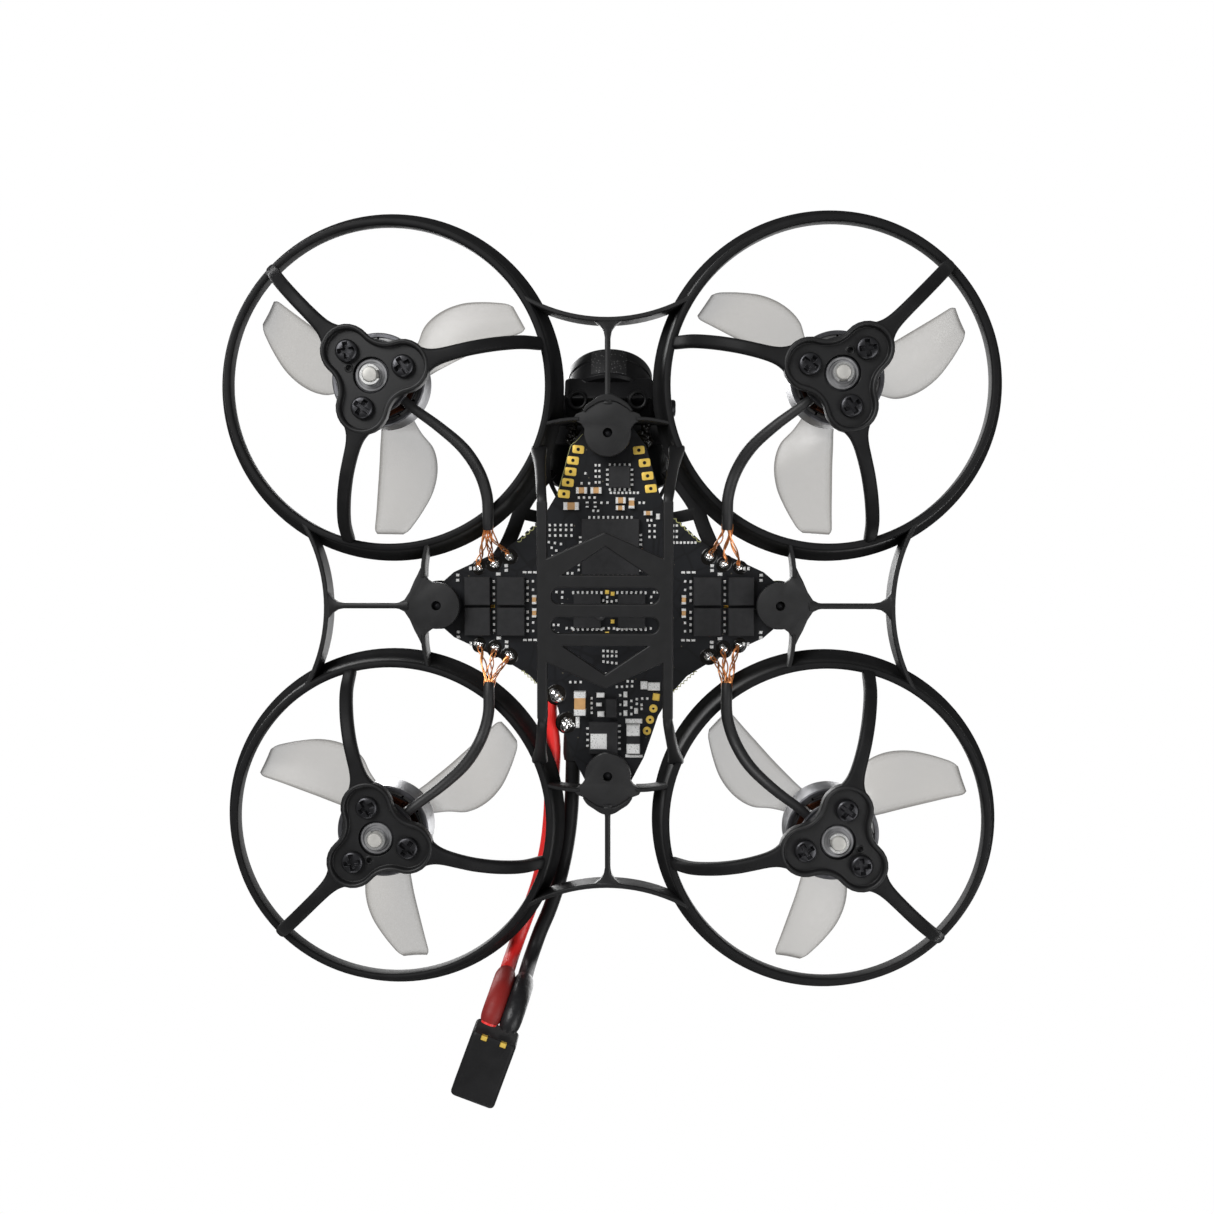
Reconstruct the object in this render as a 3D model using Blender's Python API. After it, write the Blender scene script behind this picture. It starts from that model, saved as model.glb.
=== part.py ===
"""Mini palm drone: a ducted four-rotor drone, modelled as the separate pieces it comes apart into.

+Z is up and the camera looks towards -Y, so the drone's right side is at -X.  The drone stands
on the underside of its battery tray, which is z = 0, and the origin is midway between its four
rotors.  Every length below is in millimetres: finish and add_cord turn them into metres.
"""

import math

import bmesh
import bpy
from mathutils import Matrix, Vector

MM = 0.001
CLEARANCE = 0.05          # between pieces that touch on the real drone

# Rotor layout and ducts
WHEELBASE = 65.0          # rotor to rotor across the diagonal
ROTOR_OFFSET = WHEELBASE / (2 * math.sqrt(2))
DUCT_BOTTOM = 9.0
DUCT_TOP = 12.0
DUCT_BORE = 16.45
DUCT_LIP = 18.3
# (radius, height) round the flared wall: up the bore, over the lip and down the outside
DUCT_SECTION = [
    (DUCT_BORE, DUCT_BOTTOM), (16.5, 10.5), (17.1, 11.6), (18.2, DUCT_TOP),
    (DUCT_LIP, 11.5), (17.4, 10.8), (17.1, DUCT_BOTTOM),
]

# Motor mounts, each a plate with three lobes round its screws and three arms out to the duct
MOUNT_BOTTOM = 1.5
MOUNT_TOP = 2.7
MOUNT_RECESS = 0.6        # the screw heads sink into this
MOUNT_RIM = 0.5
LOBE_RADIUS = 2.6
WAIST_RADIUS = 3.2
SCREW_CIRCLE = 3.3        # radius of the motor screw pattern
MOUNT_BORE = 1.75
# (radius, height of the underside, width) along an arm
ARM_LINE = [
    (4.6, 1.6, 3.0), (6.3, 1.6, 1.75), (8.4, 1.6, 1.6), (10.6, 2.05, 1.5), (12.9, 3.4, 1.45),
    (15.2, 5.8, 1.4), (17.3, 9.6, 1.4),
]
ARM_THICKNESS = 1.0

# Sides of the frame: a curved bridge between ducts, a spoke, and a pad for the flight controller
BRIDGE_REACH = 29.65      # centre of the bridge's wall, at its middle
BRIDGE_CURVE = 17.6
BRIDGE_HALF_ANGLE = math.radians(30.4)
BRIDGE_WALL = 0.5
PAD_REACH = 18.03         # half the diagonal of the 25.5 mm hole pattern
PAD_RADIUS = 2.45
PAD_BOTTOM = 9.2
PAD_TOP = 10.2
PAD_HOLE = 0.55
SPOKE_HALF = 0.29
WEB_WALL = 0.4

# Battery tray
TRAY_THICKNESS = 1.0
TRAY_OUTER = 6.6
TRAY_INNER = 5.6
TRAY_LENGTH = 10.6        # half length of the flat part
CHEVRON_TIP = 7.6
CHEVRON_ROOT = 5.1
SLOT_NEAR = 0.65
SLOT_FAR = 2.2
SLOT_HALF = 5.2
TRIANGLE_BASE = 3.45
TRIANGLE_TIP = 6.2
TRIANGLE_HALF = 4.1
# centre line of the leg from the tray up to the duct: x, y, z, width
LEG_LINE = [
    (6.1, 9.8, 0.06, 0.9), (6.1, 10.9, 0.1, 0.95), (6.25, 12.0, 1.15, 1.0), (6.5, 13.4, 3.5, 1.05),
    (6.85, 15.1, 6.6, 1.2), (7.15, 16.35, 8.8, 1.6), (7.2, 16.75, 9.7, 1.6),
]
LEG_THICKNESS = 0.9

# Motor
SHAFT_RADIUS = 0.74
SHAFT_BOTTOM = 1.3
SHAFT_TOP = 13.9
BEARING_BORE = 0.8
BASE_RADIUS = 4.3
TUBE_RADIUS = 1.95
BELL_RADIUS = 4.7
BELL_BORE = 4.15
BELL_BOTTOM = 5.2
BELL_TOP = 9.4
STATOR_RADIUS = 3.9
STATOR_BOTTOM = 5.0
STATOR_TOP = 8.1
STATOR_TEETH = 9
SCREW_RADIUS = 0.7
SCREW_HEAD = 1.15

# Propeller
PROP_HUB_RADIUS = 2.3
PROP_HUB_BOTTOM = 10.0
PROP_HUB_TOP = 13.2
PROP_PLANE = 11.75        # height of the blades' middle
BLADES = 3
# (radius, straight edge, curved edge, pitch in degrees, thickness) across a blade
BLADE_SECTIONS = [
    (1.6, -1.1, 1.3, 30.0, 0.9), (4.4, -0.95, 2.9, 25.0, 0.8), (6.2, -1.0, 4.3, 22.0, 0.75),
    (8.4, -1.1, 4.75, 19.0, 0.7), (10.8, -1.3, 4.35, 15.0, 0.6), (13.1, -1.5, 3.2, 12.0, 0.5),
    (15.45, -1.75, 1.6, 10.0, 0.4),
]

# Flight controller
BOARD_BOTTOM = 11.5
BOARD_TOP = 12.3
BOARD_LOBE = 2.6
BOARD_HOLE = 1.55
# the board's +X edge from its front lobe round to its rear lobe, mirrored for the other side
BOARD_EDGE = [
    (4.0, -16.4), (5.45, -11.8), (6.7, -9.7), (9.7, -6.9), (11.0, -6.0), (13.7, -4.8), (15.5, -4.1),
    (15.5, 4.1), (13.7, 4.8), (11.0, 6.0), (8.4, 7.6), (6.9, 9.3), (5.35, 11.85), (4.6, 14.1),
    (3.8, 16.4),
]
DAMPER_RADIUS = 2.1
DAMPER_TOP = 13.3
TAB_BOTTOM = 13.35
TAB_TOP = 13.95
TAB_RADIUS = 1.9
BOARD_SCREW_RADIUS = 0.45
BOARD_SCREW_HEAD = 1.2

# Camera, tilted up, and the canopy over it
CAMERA_TILT = math.radians(30.0)
CAMERA_RIM = Vector((0.0, -25.4, 19.0))
CAMERA_RADIUS = 4.5
CAMERA_LENS_BORE = 3.5
PIVOT_DEPTH = 4.65        # from the rim back to the tilt axis
CAMERA_BLOCK = (5.3, 3.7)  # half width and half height of the block behind the barrel
CANOPY_WALL = 0.45
# (y, z, lean in degrees, half width, height above, depth below) of the canopy's arches
CANOPY_ARCHES = [
    (-24.6, 18.8, 28.0, 6.2, 6.8, 3.2), (-20.5, 17.6, 20.0, 6.6, 6.6, 4.5),
    (-15.5, 17.0, 8.0, 6.75, 6.1, 3.9), (-13.2, 16.7, 4.0, 6.6, 5.9, 3.6),
    (-11.4, 16.5, 1.0, 5.7, 5.7, 3.3), (-10.5, 16.4, 0.0, 5.5, 5.6, 3.2),
    (-4.0, 15.9, 0.0, 5.0, 4.6, 2.3), (3.5, 15.3, 0.0, 3.9, 3.3, 1.7),
    (10.0, 14.7, 0.0, 2.8, 2.1, 1.2), (16.6, 13.95, 0.0, 1.8, 0.85, 0.55),
]
# underside of the strut from the shell to a side tab, and of the short branch behind it
SIDE_STRUT = [
    (6.3, -14.6, 14.4), (7.9, -12.3, 14.1), (9.3, -10.2, 13.9), (10.3, -7.9, 13.7), (11.7, -5.3, 13.55),
    (14.2, -2.4, 13.42), (16.4, -0.9, 13.38),
]
SIDE_BRANCH = [(5.1, -8.4, 14.3), (6.9, -9.2, 14.1), (9.3, -10.2, 13.9)]

# Wires
MOTOR_LEAD_RADIUS = 0.7
# the front right motor's lead, from the stator to the flight controller's edge
MOTOR_LEAD_ROUTE = [
    (-20.9, -21.4, 4.2), (-19.4, -20.1, 4.25), (-16.8, -18.2, 4.9), (-14.6, -16.2, 6.3),
    (-13.2, -13.9, 7.7), (-12.45, -11.4, 8.1), (-12.4, -9.0, 8.3),
]
# (y, z) along the camera's ribbon cable, down to the board
CABLE_LINE = [(-17.9, 17.9), (-16.2, 17.7), (-14.9, 16.4), (-14.3, 14.6), (-14.1, 12.8)]
POWER_LEAD_RADIUS = 0.8
RED_ROUTE = [
    (-5.7, 8.4, 13.25), (-6.4, 11.4, 13.3), (-6.0, 15.6, 13.2), (-6.2, 19.8, 13.05),
    (-6.35, 23.2, 13.0), (-6.75, 26.6, 13.0), (-7.6, 30.2, 13.05), (-8.5, 32.9, 13.1),
    (-9.35, 35.15, 13.1),
    (-9.98, 36.85, 12.7), (-10.42, 38.05, 11.35), (-10.55, 38.42, 9.6), (-10.57, 38.48, 7.4),
    (-10.63, 38.62, 5.3), (-10.8, 39.09, 3.5), (-11.2, 40.17, 2.25), (-11.73, 41.63, 1.8),
]
BLACK_ROUTE = [
    (-3.7, 12.2, 13.25), (-3.85, 15.6, 13.2), (-3.95, 19.8, 13.05), (-4.15, 23.2, 13.0),
    (-4.6, 26.6, 13.0), (-5.4, 30.2, 13.05), (-6.45, 33.4, 13.1), (-7.47, 35.84, 13.1),
    (-8.1, 37.54, 12.7), (-8.54, 38.74, 11.35), (-8.67, 39.11, 9.6), (-8.69, 39.17, 7.4),
    (-8.75, 39.31, 5.3), (-8.92, 39.78, 3.5), (-9.32, 40.86, 2.25), (-9.85, 42.32, 1.8),
]
CORD_STEP = 2.4           # spacing of a cord's points, in diameters
PLUG_BACK = Vector((-10.92, 42.42, 0.0))
PLUG_DIRECTION = Vector((-0.345, 0.939, 0.0)).normalized()
PLUG_SIZE = (4.6, 6.8, 3.5)  # width, length, height
PLUG_CORNER = 0.45

RIM_STEPS = 32
TURN_STEPS = 14
SCREW_STEPS = 8

# Corner names as the drone's pilot sees them, with the signs of their x and y
CORNERS = {
    "front_right": (-1, -1), "front_left": (1, -1), "rear_right": (-1, 1), "rear_left": (1, 1),
}
SIDES = {"front": -90.0, "left": 0.0, "rear": 90.0, "right": 180.0}
# Angle of one blade at rest, and +1 where the rotor turns clockwise seen from above
PROP_REST = {
    "front_right": (91.0, 1), "front_left": (94.0, -1), "rear_right": (83.2, -1), "rear_left": (102.9, 1),
}


# ---------------------------------------------------------------------------------------------
# Materials


def material(name, colour, roughness, metallic=0.0, alpha=1.0):
    """A Principled material in the piece's own colour."""
    made = bpy.data.materials.new(name)
    made.use_nodes = True
    shader = made.node_tree.nodes["Principled BSDF"]
    shader.inputs["Base Color"].default_value = (*colour, 1.0)
    shader.inputs["Roughness"].default_value = roughness
    shader.inputs["Metallic"].default_value = metallic
    shader.inputs["Alpha"].default_value = alpha
    return made


# ---------------------------------------------------------------------------------------------
# Shapes, as bmeshes in millimetres


def loft(sections, ring=False):
    """Skin a run of equal loops of points, capped at both ends unless the run closes on itself."""
    shape = bmesh.new()
    rows = [[shape.verts.new(point) for point in section] for section in sections]
    following = rows[1:] + rows[:1] if ring else rows[1:]
    for row, after in zip(rows, following):
        for index in range(len(row)):
            beside = (index + 1) % len(row)
            shape.faces.new((row[index], row[beside], after[beside], after[index]))
    if not ring:
        shape.faces.new(rows[0])
        shape.faces.new(rows[-1])
    bmesh.ops.recalc_face_normals(shape, faces=shape.faces)
    return shape


def circle(radius, steps, centre=(0.0, 0.0)):
    """Points round a circle in plan."""
    turns = [2 * math.pi * index / steps for index in range(steps)]
    return [(centre[0] + radius * math.cos(turn), centre[1] + radius * math.sin(turn)) for turn in turns]


def arc(centre, radius, start, end, steps):
    """Points along an arc in plan, angles in degrees, both ends included."""
    angles = [math.radians(start + (end - start) * index / steps) for index in range(steps + 1)]
    return [(centre[0] + radius * math.cos(angle), centre[1] + radius * math.sin(angle)) for angle in angles]


def prism(outline, bottom, top):
    """A plan outline raised from bottom to top."""
    return loft([[(x, y, height) for x, y in outline] for height in (bottom, top)])


def spindle(profile, steps=TURN_STEPS):
    """A turned solid on the Z axis: (radius, height) pairs from its bottom face to its top face."""
    return loft([[(x, y, height) for x, y in circle(radius, steps)] for radius, height in profile])


def turned_ring(profile, steps=TURN_STEPS):
    """A turned solid with an open middle: a closed (radius, height) section swept round Z."""
    turns = [2 * math.pi * index / steps for index in range(steps)]
    sections = [[(r * math.cos(turn), r * math.sin(turn), z) for r, z in profile] for turn in turns]
    return loft(sections, ring=True)


def bar(path, side, widths, thickness):
    """A rectangular bar whose underside follows path, side being its sideways direction."""
    sections = []
    for index, point in enumerate(path):
        along = path[min(index + 1, len(path) - 1)] - path[max(index - 1, 0)]
        out = side.cross(along).normalized()
        out = out if out.z >= 0 else -out
        half = side * widths[index] / 2
        rise = out * thickness
        sections.append([point - half, point + half, point + half + rise, point - half + rise])
    return loft(sections)


def wall(line, thickness, bottom, tops):
    """A thin upright wall that follows a plan line, with its own top height at each point."""
    sections = []
    for index, point in enumerate(line):
        along = Vector(line[min(index + 1, len(line) - 1)]) - Vector(line[max(index - 1, 0)])
        across = Vector((-along.y, along.x)).normalized() * thickness / 2
        near, far = Vector(point) - across, Vector(point) + across
        top = tops[index]
        low, high = [(*near, bottom), (*far, bottom)], [(*far, top), (*near, top)]
        sections.append(low + high)
    return loft(sections)


def placed(shape, matrix):
    """The same shape moved by a matrix, kept outward-facing."""
    copy = shape.copy()
    bmesh.ops.transform(copy, matrix=matrix, verts=copy.verts)
    if matrix.determinant() < 0:
        bmesh.ops.reverse_faces(copy, faces=copy.faces)
    return copy


def turned_about_z(degrees):
    return Matrix.Rotation(math.radians(degrees), 4, "Z")


# ---------------------------------------------------------------------------------------------
# Objects


def add_shape(name, shape):
    """Put a bmesh into the scene as an object, still in millimetres."""
    mesh = bpy.data.meshes.new(name)
    shape.to_mesh(mesh)
    shape.free()
    piece = bpy.data.objects.new(name, mesh)
    bpy.context.scene.collection.objects.link(piece)
    return piece


def combine(body, shape, operation):
    """Join a shape to a body, or cut it away, with one exact Boolean."""
    tool = add_shape("tool", shape)
    step = body.modifiers.new("combine", "BOOLEAN")
    step.operation = operation
    step.solver = "EXACT"
    step.object = tool
    result = bpy.data.meshes.new_from_object(body.evaluated_get(bpy.context.evaluated_depsgraph_get()))
    body.modifiers.clear()
    body.data = result
    bpy.data.objects.remove(tool)


def union(name, shapes):
    """One body made of overlapping shapes."""
    body = add_shape(name, shapes[0])
    for shape in shapes[1:]:
        combine(body, shape, "UNION")
    return body


def cut(body, shapes):
    """Take shapes that don't touch each other out of a body."""
    together = bmesh.new()
    for shape in shapes:
        scrap = bpy.data.meshes.new("scrap")
        shape.to_mesh(scrap)
        shape.free()
        together.from_mesh(scrap)
    combine(body, together, "DIFFERENCE")


def as_shape(body):
    """Take an object's shape back out of the scene as a bmesh."""
    shape = bmesh.new()
    shape.from_mesh(body.data)
    bpy.data.objects.remove(body)
    return shape


def finish(piece, name, finish_material, origin=(0.0, 0.0, 0.0)):
    """Name a piece, turn it into metres round its own origin, and give it its material."""
    piece.name = name
    origin = Vector(origin)
    piece.data.transform(Matrix.Scale(MM, 4) @ Matrix.Translation(-origin))
    piece.location = origin * MM
    piece.data.materials.clear()
    piece.data.materials.append(finish_material)
    piece.data.shade_smooth()
    piece.data.set_sharp_from_angle(angle=math.radians(35.0))


def add_part(name, shape, finish_material, origin=(0.0, 0.0, 0.0)):
    """A finished piece straight from a bmesh."""
    finish(add_shape(name, shape), name, finish_material, origin)


def smooth_points(route, spacing):
    """Evenly spaced points on the Catmull-Rom curve through a route's points."""
    knots = [Vector(point) for point in route]
    knots = [2 * knots[0] - knots[1]] + knots + [2 * knots[-1] - knots[-2]]
    fine = []
    for before, start, end, after in zip(knots, knots[1:], knots[2:], knots[3:]):
        for step in range(12):
            t = step / 12
            fine.append(0.5 * (
                2 * start + (end - before) * t + (2 * before - 5 * start + 4 * end - after) * t ** 2
                + (3 * start - before - 3 * end + after) * t ** 3
            ))
    fine.append(knots[-2])
    lengths = [0.0]
    for start, end in zip(fine, fine[1:]):
        lengths.append(lengths[-1] + (end - start).length)
    count = max(4, round(lengths[-1] / spacing))
    points = []
    index = 0
    for step in range(count + 1):
        wanted = lengths[-1] * step / count
        while index < len(lengths) - 2 and lengths[index + 1] < wanted:
            index += 1
        share = (wanted - lengths[index]) / (lengths[index + 1] - lengths[index])
        points.append(fine[index].lerp(fine[index + 1], share))
    return points


def add_cord(name, route, radius, finish_material):
    """A wire along a smooth route, as a curve with a round bevel and filled ends."""
    points = smooth_points(route, CORD_STEP * 2 * radius)
    line = bpy.data.curves.new(name, "CURVE")
    line.dimensions = "3D"
    line.bevel_depth = radius * MM
    line.bevel_resolution = 2
    line.use_fill_caps = True
    spline = line.splines.new("POLY")
    spline.points.add(len(points) - 1)
    for target, point in zip(spline.points, points):
        target.co = (*(point * MM), 1.0)
    line.materials.append(finish_material)
    cord = bpy.data.objects.new(name, line)
    bpy.context.scene.collection.objects.link(cord)


# ---------------------------------------------------------------------------------------------
# Frame


def mount_outline(inset):
    """Three round lobes about the screws with hollow waists between them, moved in by inset."""
    lobe, waist, reach = LOBE_RADIUS, WAIST_RADIUS, SCREW_CIRCLE
    hollow = (lobe ** 2 - reach ** 2 - waist ** 2 + reach * waist) / (2 * waist - reach - 2 * lobe)
    far = waist + hollow
    meeting = math.degrees(math.atan2(far * math.sin(math.pi / 3), far * math.cos(math.pi / 3) - reach))
    points = []
    for turn in (0.0, 120.0, 240.0):
        spin = math.radians(turn)
        lobe_centre = (reach * math.cos(spin), reach * math.sin(spin))
        points += arc(lobe_centre, lobe - inset, turn - meeting, turn + meeting, 5)
        spin += math.pi / 3
        waist_centre = (far * math.cos(spin), far * math.sin(spin))
        points += arc(waist_centre, hollow + inset, turn + meeting + 180, turn + 300 - meeting, 2)[1:-1]
    return points


def corner_shapes():
    """One duct, its three-lobed motor mount and its arms, with the drone's corner towards +X."""
    shapes = [turned_ring(DUCT_SECTION, RIM_STEPS), prism(mount_outline(0.0), MOUNT_BOTTOM, MOUNT_TOP)]
    for turn in (0.0, 120.0, 240.0):
        path = [Vector((radius, 0.0, height)) for radius, height, _ in ARM_LINE]
        arm = bar(path, Vector((0.0, 1.0, 0.0)), [width for _, _, width in ARM_LINE], ARM_THICKNESS)
        shapes.append(placed(arm, turned_about_z(turn)))
    return shapes


def corner_cutters():
    """The mount's recess, its screw holes and its bore."""
    recess = prism(mount_outline(MOUNT_RIM), MOUNT_BOTTOM - 0.5, MOUNT_BOTTOM + MOUNT_RECESS)
    low, high = MOUNT_BOTTOM + MOUNT_RECESS - 0.2, MOUNT_TOP + 0.3
    cutters = [spindle([(MOUNT_BORE, low), (MOUNT_BORE, high)])]
    for turn in (0.0, 120.0, 240.0):
        spin = math.radians(turn)
        centre = (SCREW_CIRCLE * math.cos(spin), SCREW_CIRCLE * math.sin(spin))
        cutters.append(prism(circle(SCREW_RADIUS + 0.1, SCREW_STEPS, centre), low, high))
    return recess, cutters


def top_below_duct(point):
    """How high a wall may rise near a duct, so that it stays outside the duct's bore."""
    reach = min(math.dist(point, (ROTOR_OFFSET, side * ROTOR_OFFSET)) for side in (-1, 1))
    return min(11.7, 10.2 + 1.1 * (reach - 16.8))


def side_shapes():
    """One side of the frame, facing +X: bridge, spoke, pad and the webs that hold the pad."""
    centre = BRIDGE_REACH + BRIDGE_CURVE
    angles = [BRIDGE_HALF_ANGLE * (index / 5 - 1) for index in range(11)]
    bridge = [(centre - BRIDGE_CURVE * math.cos(turn), BRIDGE_CURVE * math.sin(turn)) for turn in angles]
    shapes = [wall(bridge, BRIDGE_WALL, DUCT_BOTTOM + 0.03, [top_below_duct(point) for point in bridge])]
    half = [(21.2, 0.5), (22.0, SPOKE_HALF), (28.1, SPOKE_HALF), (28.9, 0.55), (29.5, 1.3)]
    shapes.append(prism(half + [(x, -y) for x, y in reversed(half)], 9.1, 9.95))
    half = [(21.7, 0.4), (21.0, 0.8), (20.45, 1.85), (19.9, 2.95), (19.6, 3.75), (19.15, 3.75), (18.95, 2.9)]
    half += arc((PAD_REACH, 0.0), PAD_RADIUS, 80.0, 180.0, 6)
    shapes.append(prism(half + [(x, -y) for x, y in reversed(half[:-1])], PAD_BOTTOM, PAD_TOP))
    for side in (-1, 1):
        web = [(19.4, 3.2 * side), (19.35, 4.2 * side), (19.05, 5.5 * side), (18.75, 6.6 * side)]
        shapes.append(wall(web, WEB_WALL, DUCT_BOTTOM + 0.12, [top_below_duct(point) for point in web]))
    return shapes


def tray_shapes():
    """The battery tray's plate and its four legs."""
    quarter = [(TRAY_OUTER, TRAY_LENGTH), (TRAY_INNER, TRAY_LENGTH), (TRAY_INNER, CHEVRON_ROOT)]
    outline = quarter + [(0.0, CHEVRON_TIP)] + [(-x, y) for x, y in reversed(quarter)]
    outline += [(-x, -y) for x, y in outline]
    shapes = [prism(outline, 0.0, TRAY_THICKNESS)]
    for x_side, y_side in CORNERS.values():
        path = [Vector((x * x_side, y * y_side, z)) for x, y, z, _ in LEG_LINE]
        shapes.append(bar(path, Vector((1.0, 0.0, 0.0)), [width for *_, width in LEG_LINE], LEG_THICKNESS))
    return shapes


def tray_cutters():
    """The tray's two slots and two triangular windows."""
    cutters = []
    radius = (SLOT_FAR - SLOT_NEAR) / 2
    middle = (SLOT_FAR + SLOT_NEAR) / 2
    for side in (-1, 1):
        ends = arc((SLOT_HALF - radius, middle * side), radius, -90.0, 90.0, 4)
        ends += arc((radius - SLOT_HALF, middle * side), radius, 90.0, 270.0, 4)
        cutters.append(prism(ends, -0.5, TRAY_THICKNESS + 0.5))
        corners = [(TRIANGLE_HALF, TRIANGLE_BASE), (0.0, TRIANGLE_TIP), (-TRIANGLE_HALF, TRIANGLE_BASE)]
        cutters.append(prism([(x, y * side) for x, y in corners], -0.5, TRAY_THICKNESS + 0.5))
    return cutters


def make_frame(plastic):
    """The one-piece moulded frame."""
    corner = union("corner", corner_shapes())
    recess, holes = corner_cutters()
    cut(corner, [recess])
    cut(corner, holes)
    corner = as_shape(corner)
    side = as_shape(union("side", side_shapes()))
    frame = union("tray", tray_shapes())
    cut(frame, tray_cutters())
    for turn in SIDES.values():
        combine(frame, placed(side, turned_about_z(turn)), "UNION")
    for x_side, y_side in CORNERS.values():
        outwards = math.degrees(math.atan2(y_side, x_side))
        spot = Matrix.Translation((x_side * ROTOR_OFFSET, y_side * ROTOR_OFFSET, 0.0))
        combine(frame, placed(corner, spot @ turned_about_z(outwards)), "UNION")
    pads = [turned_about_z(turn) @ Vector((PAD_REACH, 0.0, 0.0)) for turn in SIDES.values()]
    low, high = PAD_BOTTOM - 0.5, PAD_TOP + 0.5
    cut(frame, [prism(circle(PAD_HOLE, SCREW_STEPS, pad.xy), low, high) for pad in pads])
    corner.free()
    side.free()
    finish(frame, "frame", plastic)


# ---------------------------------------------------------------------------------------------
# Motors and propellers


def motor_base_shape(outwards):
    """Base plate and bearing tube, with threaded holes for the three screws."""
    profile = [
        (1.6, 1.95), (1.6, MOUNT_TOP + CLEARANCE), (BASE_RADIUS, MOUNT_TOP + CLEARANCE), (BASE_RADIUS, 3.4),
        (TUBE_RADIUS, 3.4), (TUBE_RADIUS, 8.3), (BEARING_BORE, 8.3), (BEARING_BORE, 1.95),
    ]
    base = add_shape("base", turned_ring(profile))
    holes = []
    for turn in (0.0, 120.0, 240.0):
        spin = math.radians(turn + outwards)
        centre = (SCREW_CIRCLE * math.cos(spin), SCREW_CIRCLE * math.sin(spin))
        holes.append(prism(circle(SCREW_RADIUS + 0.08, SCREW_STEPS, centre), MOUNT_TOP - 0.3, 3.8))
    cut(base, holes)
    return as_shape(base)


def stator_shape():
    """Nine teeth round the bearing tube, with the windings' height."""
    outline = []
    for tooth in range(STATOR_TEETH):
        middle = 360.0 * tooth / STATOR_TEETH
        outline += arc((0.0, 0.0), STATOR_RADIUS, middle - 15.0, middle + 15.0, 2)
        outline += arc((0.0, 0.0), 2.9, middle + 18.0, middle + 22.0, 1)
    body = add_shape("stator", prism(outline, STATOR_BOTTOM, STATOR_TOP))
    bore = prism(circle(TUBE_RADIUS + CLEARANCE * 2, TURN_STEPS), STATOR_BOTTOM - 0.5, STATOR_TOP + 0.5)
    cut(body, [bore])
    return as_shape(body)


def bell_shape():
    """The rotor's cup, with its boss round the shaft."""
    return turned_ring([
        (BELL_BORE, BELL_BOTTOM), (BELL_RADIUS, BELL_BOTTOM), (BELL_RADIUS, BELL_TOP - 0.35),
        (BELL_RADIUS - 0.45, BELL_TOP), (1.5, BELL_TOP), (1.5, 9.9), (SHAFT_RADIUS + CLEARANCE, 9.9),
        (SHAFT_RADIUS + CLEARANCE, 8.65), (BELL_BORE, 8.65),
    ])


def blade_sections(turning):
    """Cross-sections of a blade along +X; turning is +1 for a clockwise rotor."""
    sections = []
    for radius, straight, curved, pitch, thick in BLADE_SECTIONS:
        lean = math.tan(math.radians(pitch))
        loop = []
        for share, lift in ((0.0, 0.0), (0.35, 0.5), (1.0, 0.0), (0.35, -0.5)):
            across = straight + (curved - straight) * share
            middle = (straight + curved) / 2
            height = PROP_PLANE + lean * (across - middle) + lift * thick + 0.35 * math.sin(math.pi * share)
            loop.append((radius, -across * turning, height))
        sections.append(loop)
    return sections


def propeller_shape(rest_angle, turning):
    """Hub and three blades."""
    bore = SHAFT_RADIUS + CLEARANCE
    hub = turned_ring([
        (bore, PROP_HUB_BOTTOM), (PROP_HUB_RADIUS, PROP_HUB_BOTTOM), (PROP_HUB_RADIUS, PROP_HUB_TOP - 0.5),
        (PROP_HUB_RADIUS - 0.5, PROP_HUB_TOP), (bore, PROP_HUB_TOP),
    ])
    blade = loft(blade_sections(turning))
    turns = [rest_angle + 360.0 * index / BLADES for index in range(BLADES)]
    return as_shape(union("propeller", [hub] + [placed(blade, turned_about_z(turn)) for turn in turns]))


def clip_shape():
    """The C-clip that keeps the shaft in its bearings."""
    inner, outer = SHAFT_RADIUS + 0.03, 1.05
    outline = arc((0.0, 0.0), outer, 25.0, 335.0, 12) + arc((0.0, 0.0), inner, 330.0, 30.0, 12)
    return prism(outline, 1.5, 1.8)


def motor_screw_shape():
    """Motor screw with its head down, standing on the Z axis."""
    seat = MOUNT_BOTTOM + MOUNT_RECESS - CLEARANCE
    return spindle([
        (SCREW_HEAD - 0.2, seat - 0.55), (SCREW_HEAD, seat - 0.4), (SCREW_HEAD, seat), (SCREW_RADIUS, seat),
        (SCREW_RADIUS, 3.5),
    ], SCREW_STEPS)


def make_rotors(metal, copper, bell_metal, steel, prop_plastic, screw_steel):
    """The four motors with their screws, clips and propellers."""
    for corner, (x_side, y_side) in CORNERS.items():
        spot = Vector((x_side * ROTOR_OFFSET, y_side * ROTOR_OFFSET, 0.0))
        move = Matrix.Translation(spot)
        outwards = math.degrees(math.atan2(y_side, x_side))
        add_part(f"motor_base_{corner}", placed(motor_base_shape(outwards), move), metal, spot)
        add_part(f"stator_{corner}", placed(stator_shape(), move), copper, spot)
        add_part(f"motor_bell_{corner}", placed(bell_shape(), move), bell_metal, spot)
        shaft = spindle([(SHAFT_RADIUS, SHAFT_BOTTOM), (SHAFT_RADIUS, SHAFT_TOP)], 12)
        add_part(f"motor_shaft_{corner}", placed(shaft, move), steel, spot)
        add_part(f"shaft_clip_{corner}", placed(clip_shape(), move @ turned_about_z(outwards)), steel, spot)
        rest_angle, turning = PROP_REST[corner]
        propeller = placed(propeller_shape(rest_angle, turning), move)
        add_part(f"propeller_{corner}", propeller, prop_plastic, spot)
        for number, turn in enumerate((0.0, 120.0, 240.0), start=1):
            arm = turned_about_z(outwards + turn) @ Vector((SCREW_CIRCLE, 0.0, 0.0))
            screw = placed(motor_screw_shape(), Matrix.Translation(spot + arm))
            add_part(f"motor_screw_{corner}_{number}", screw, screw_steel, spot + arm)


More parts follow.
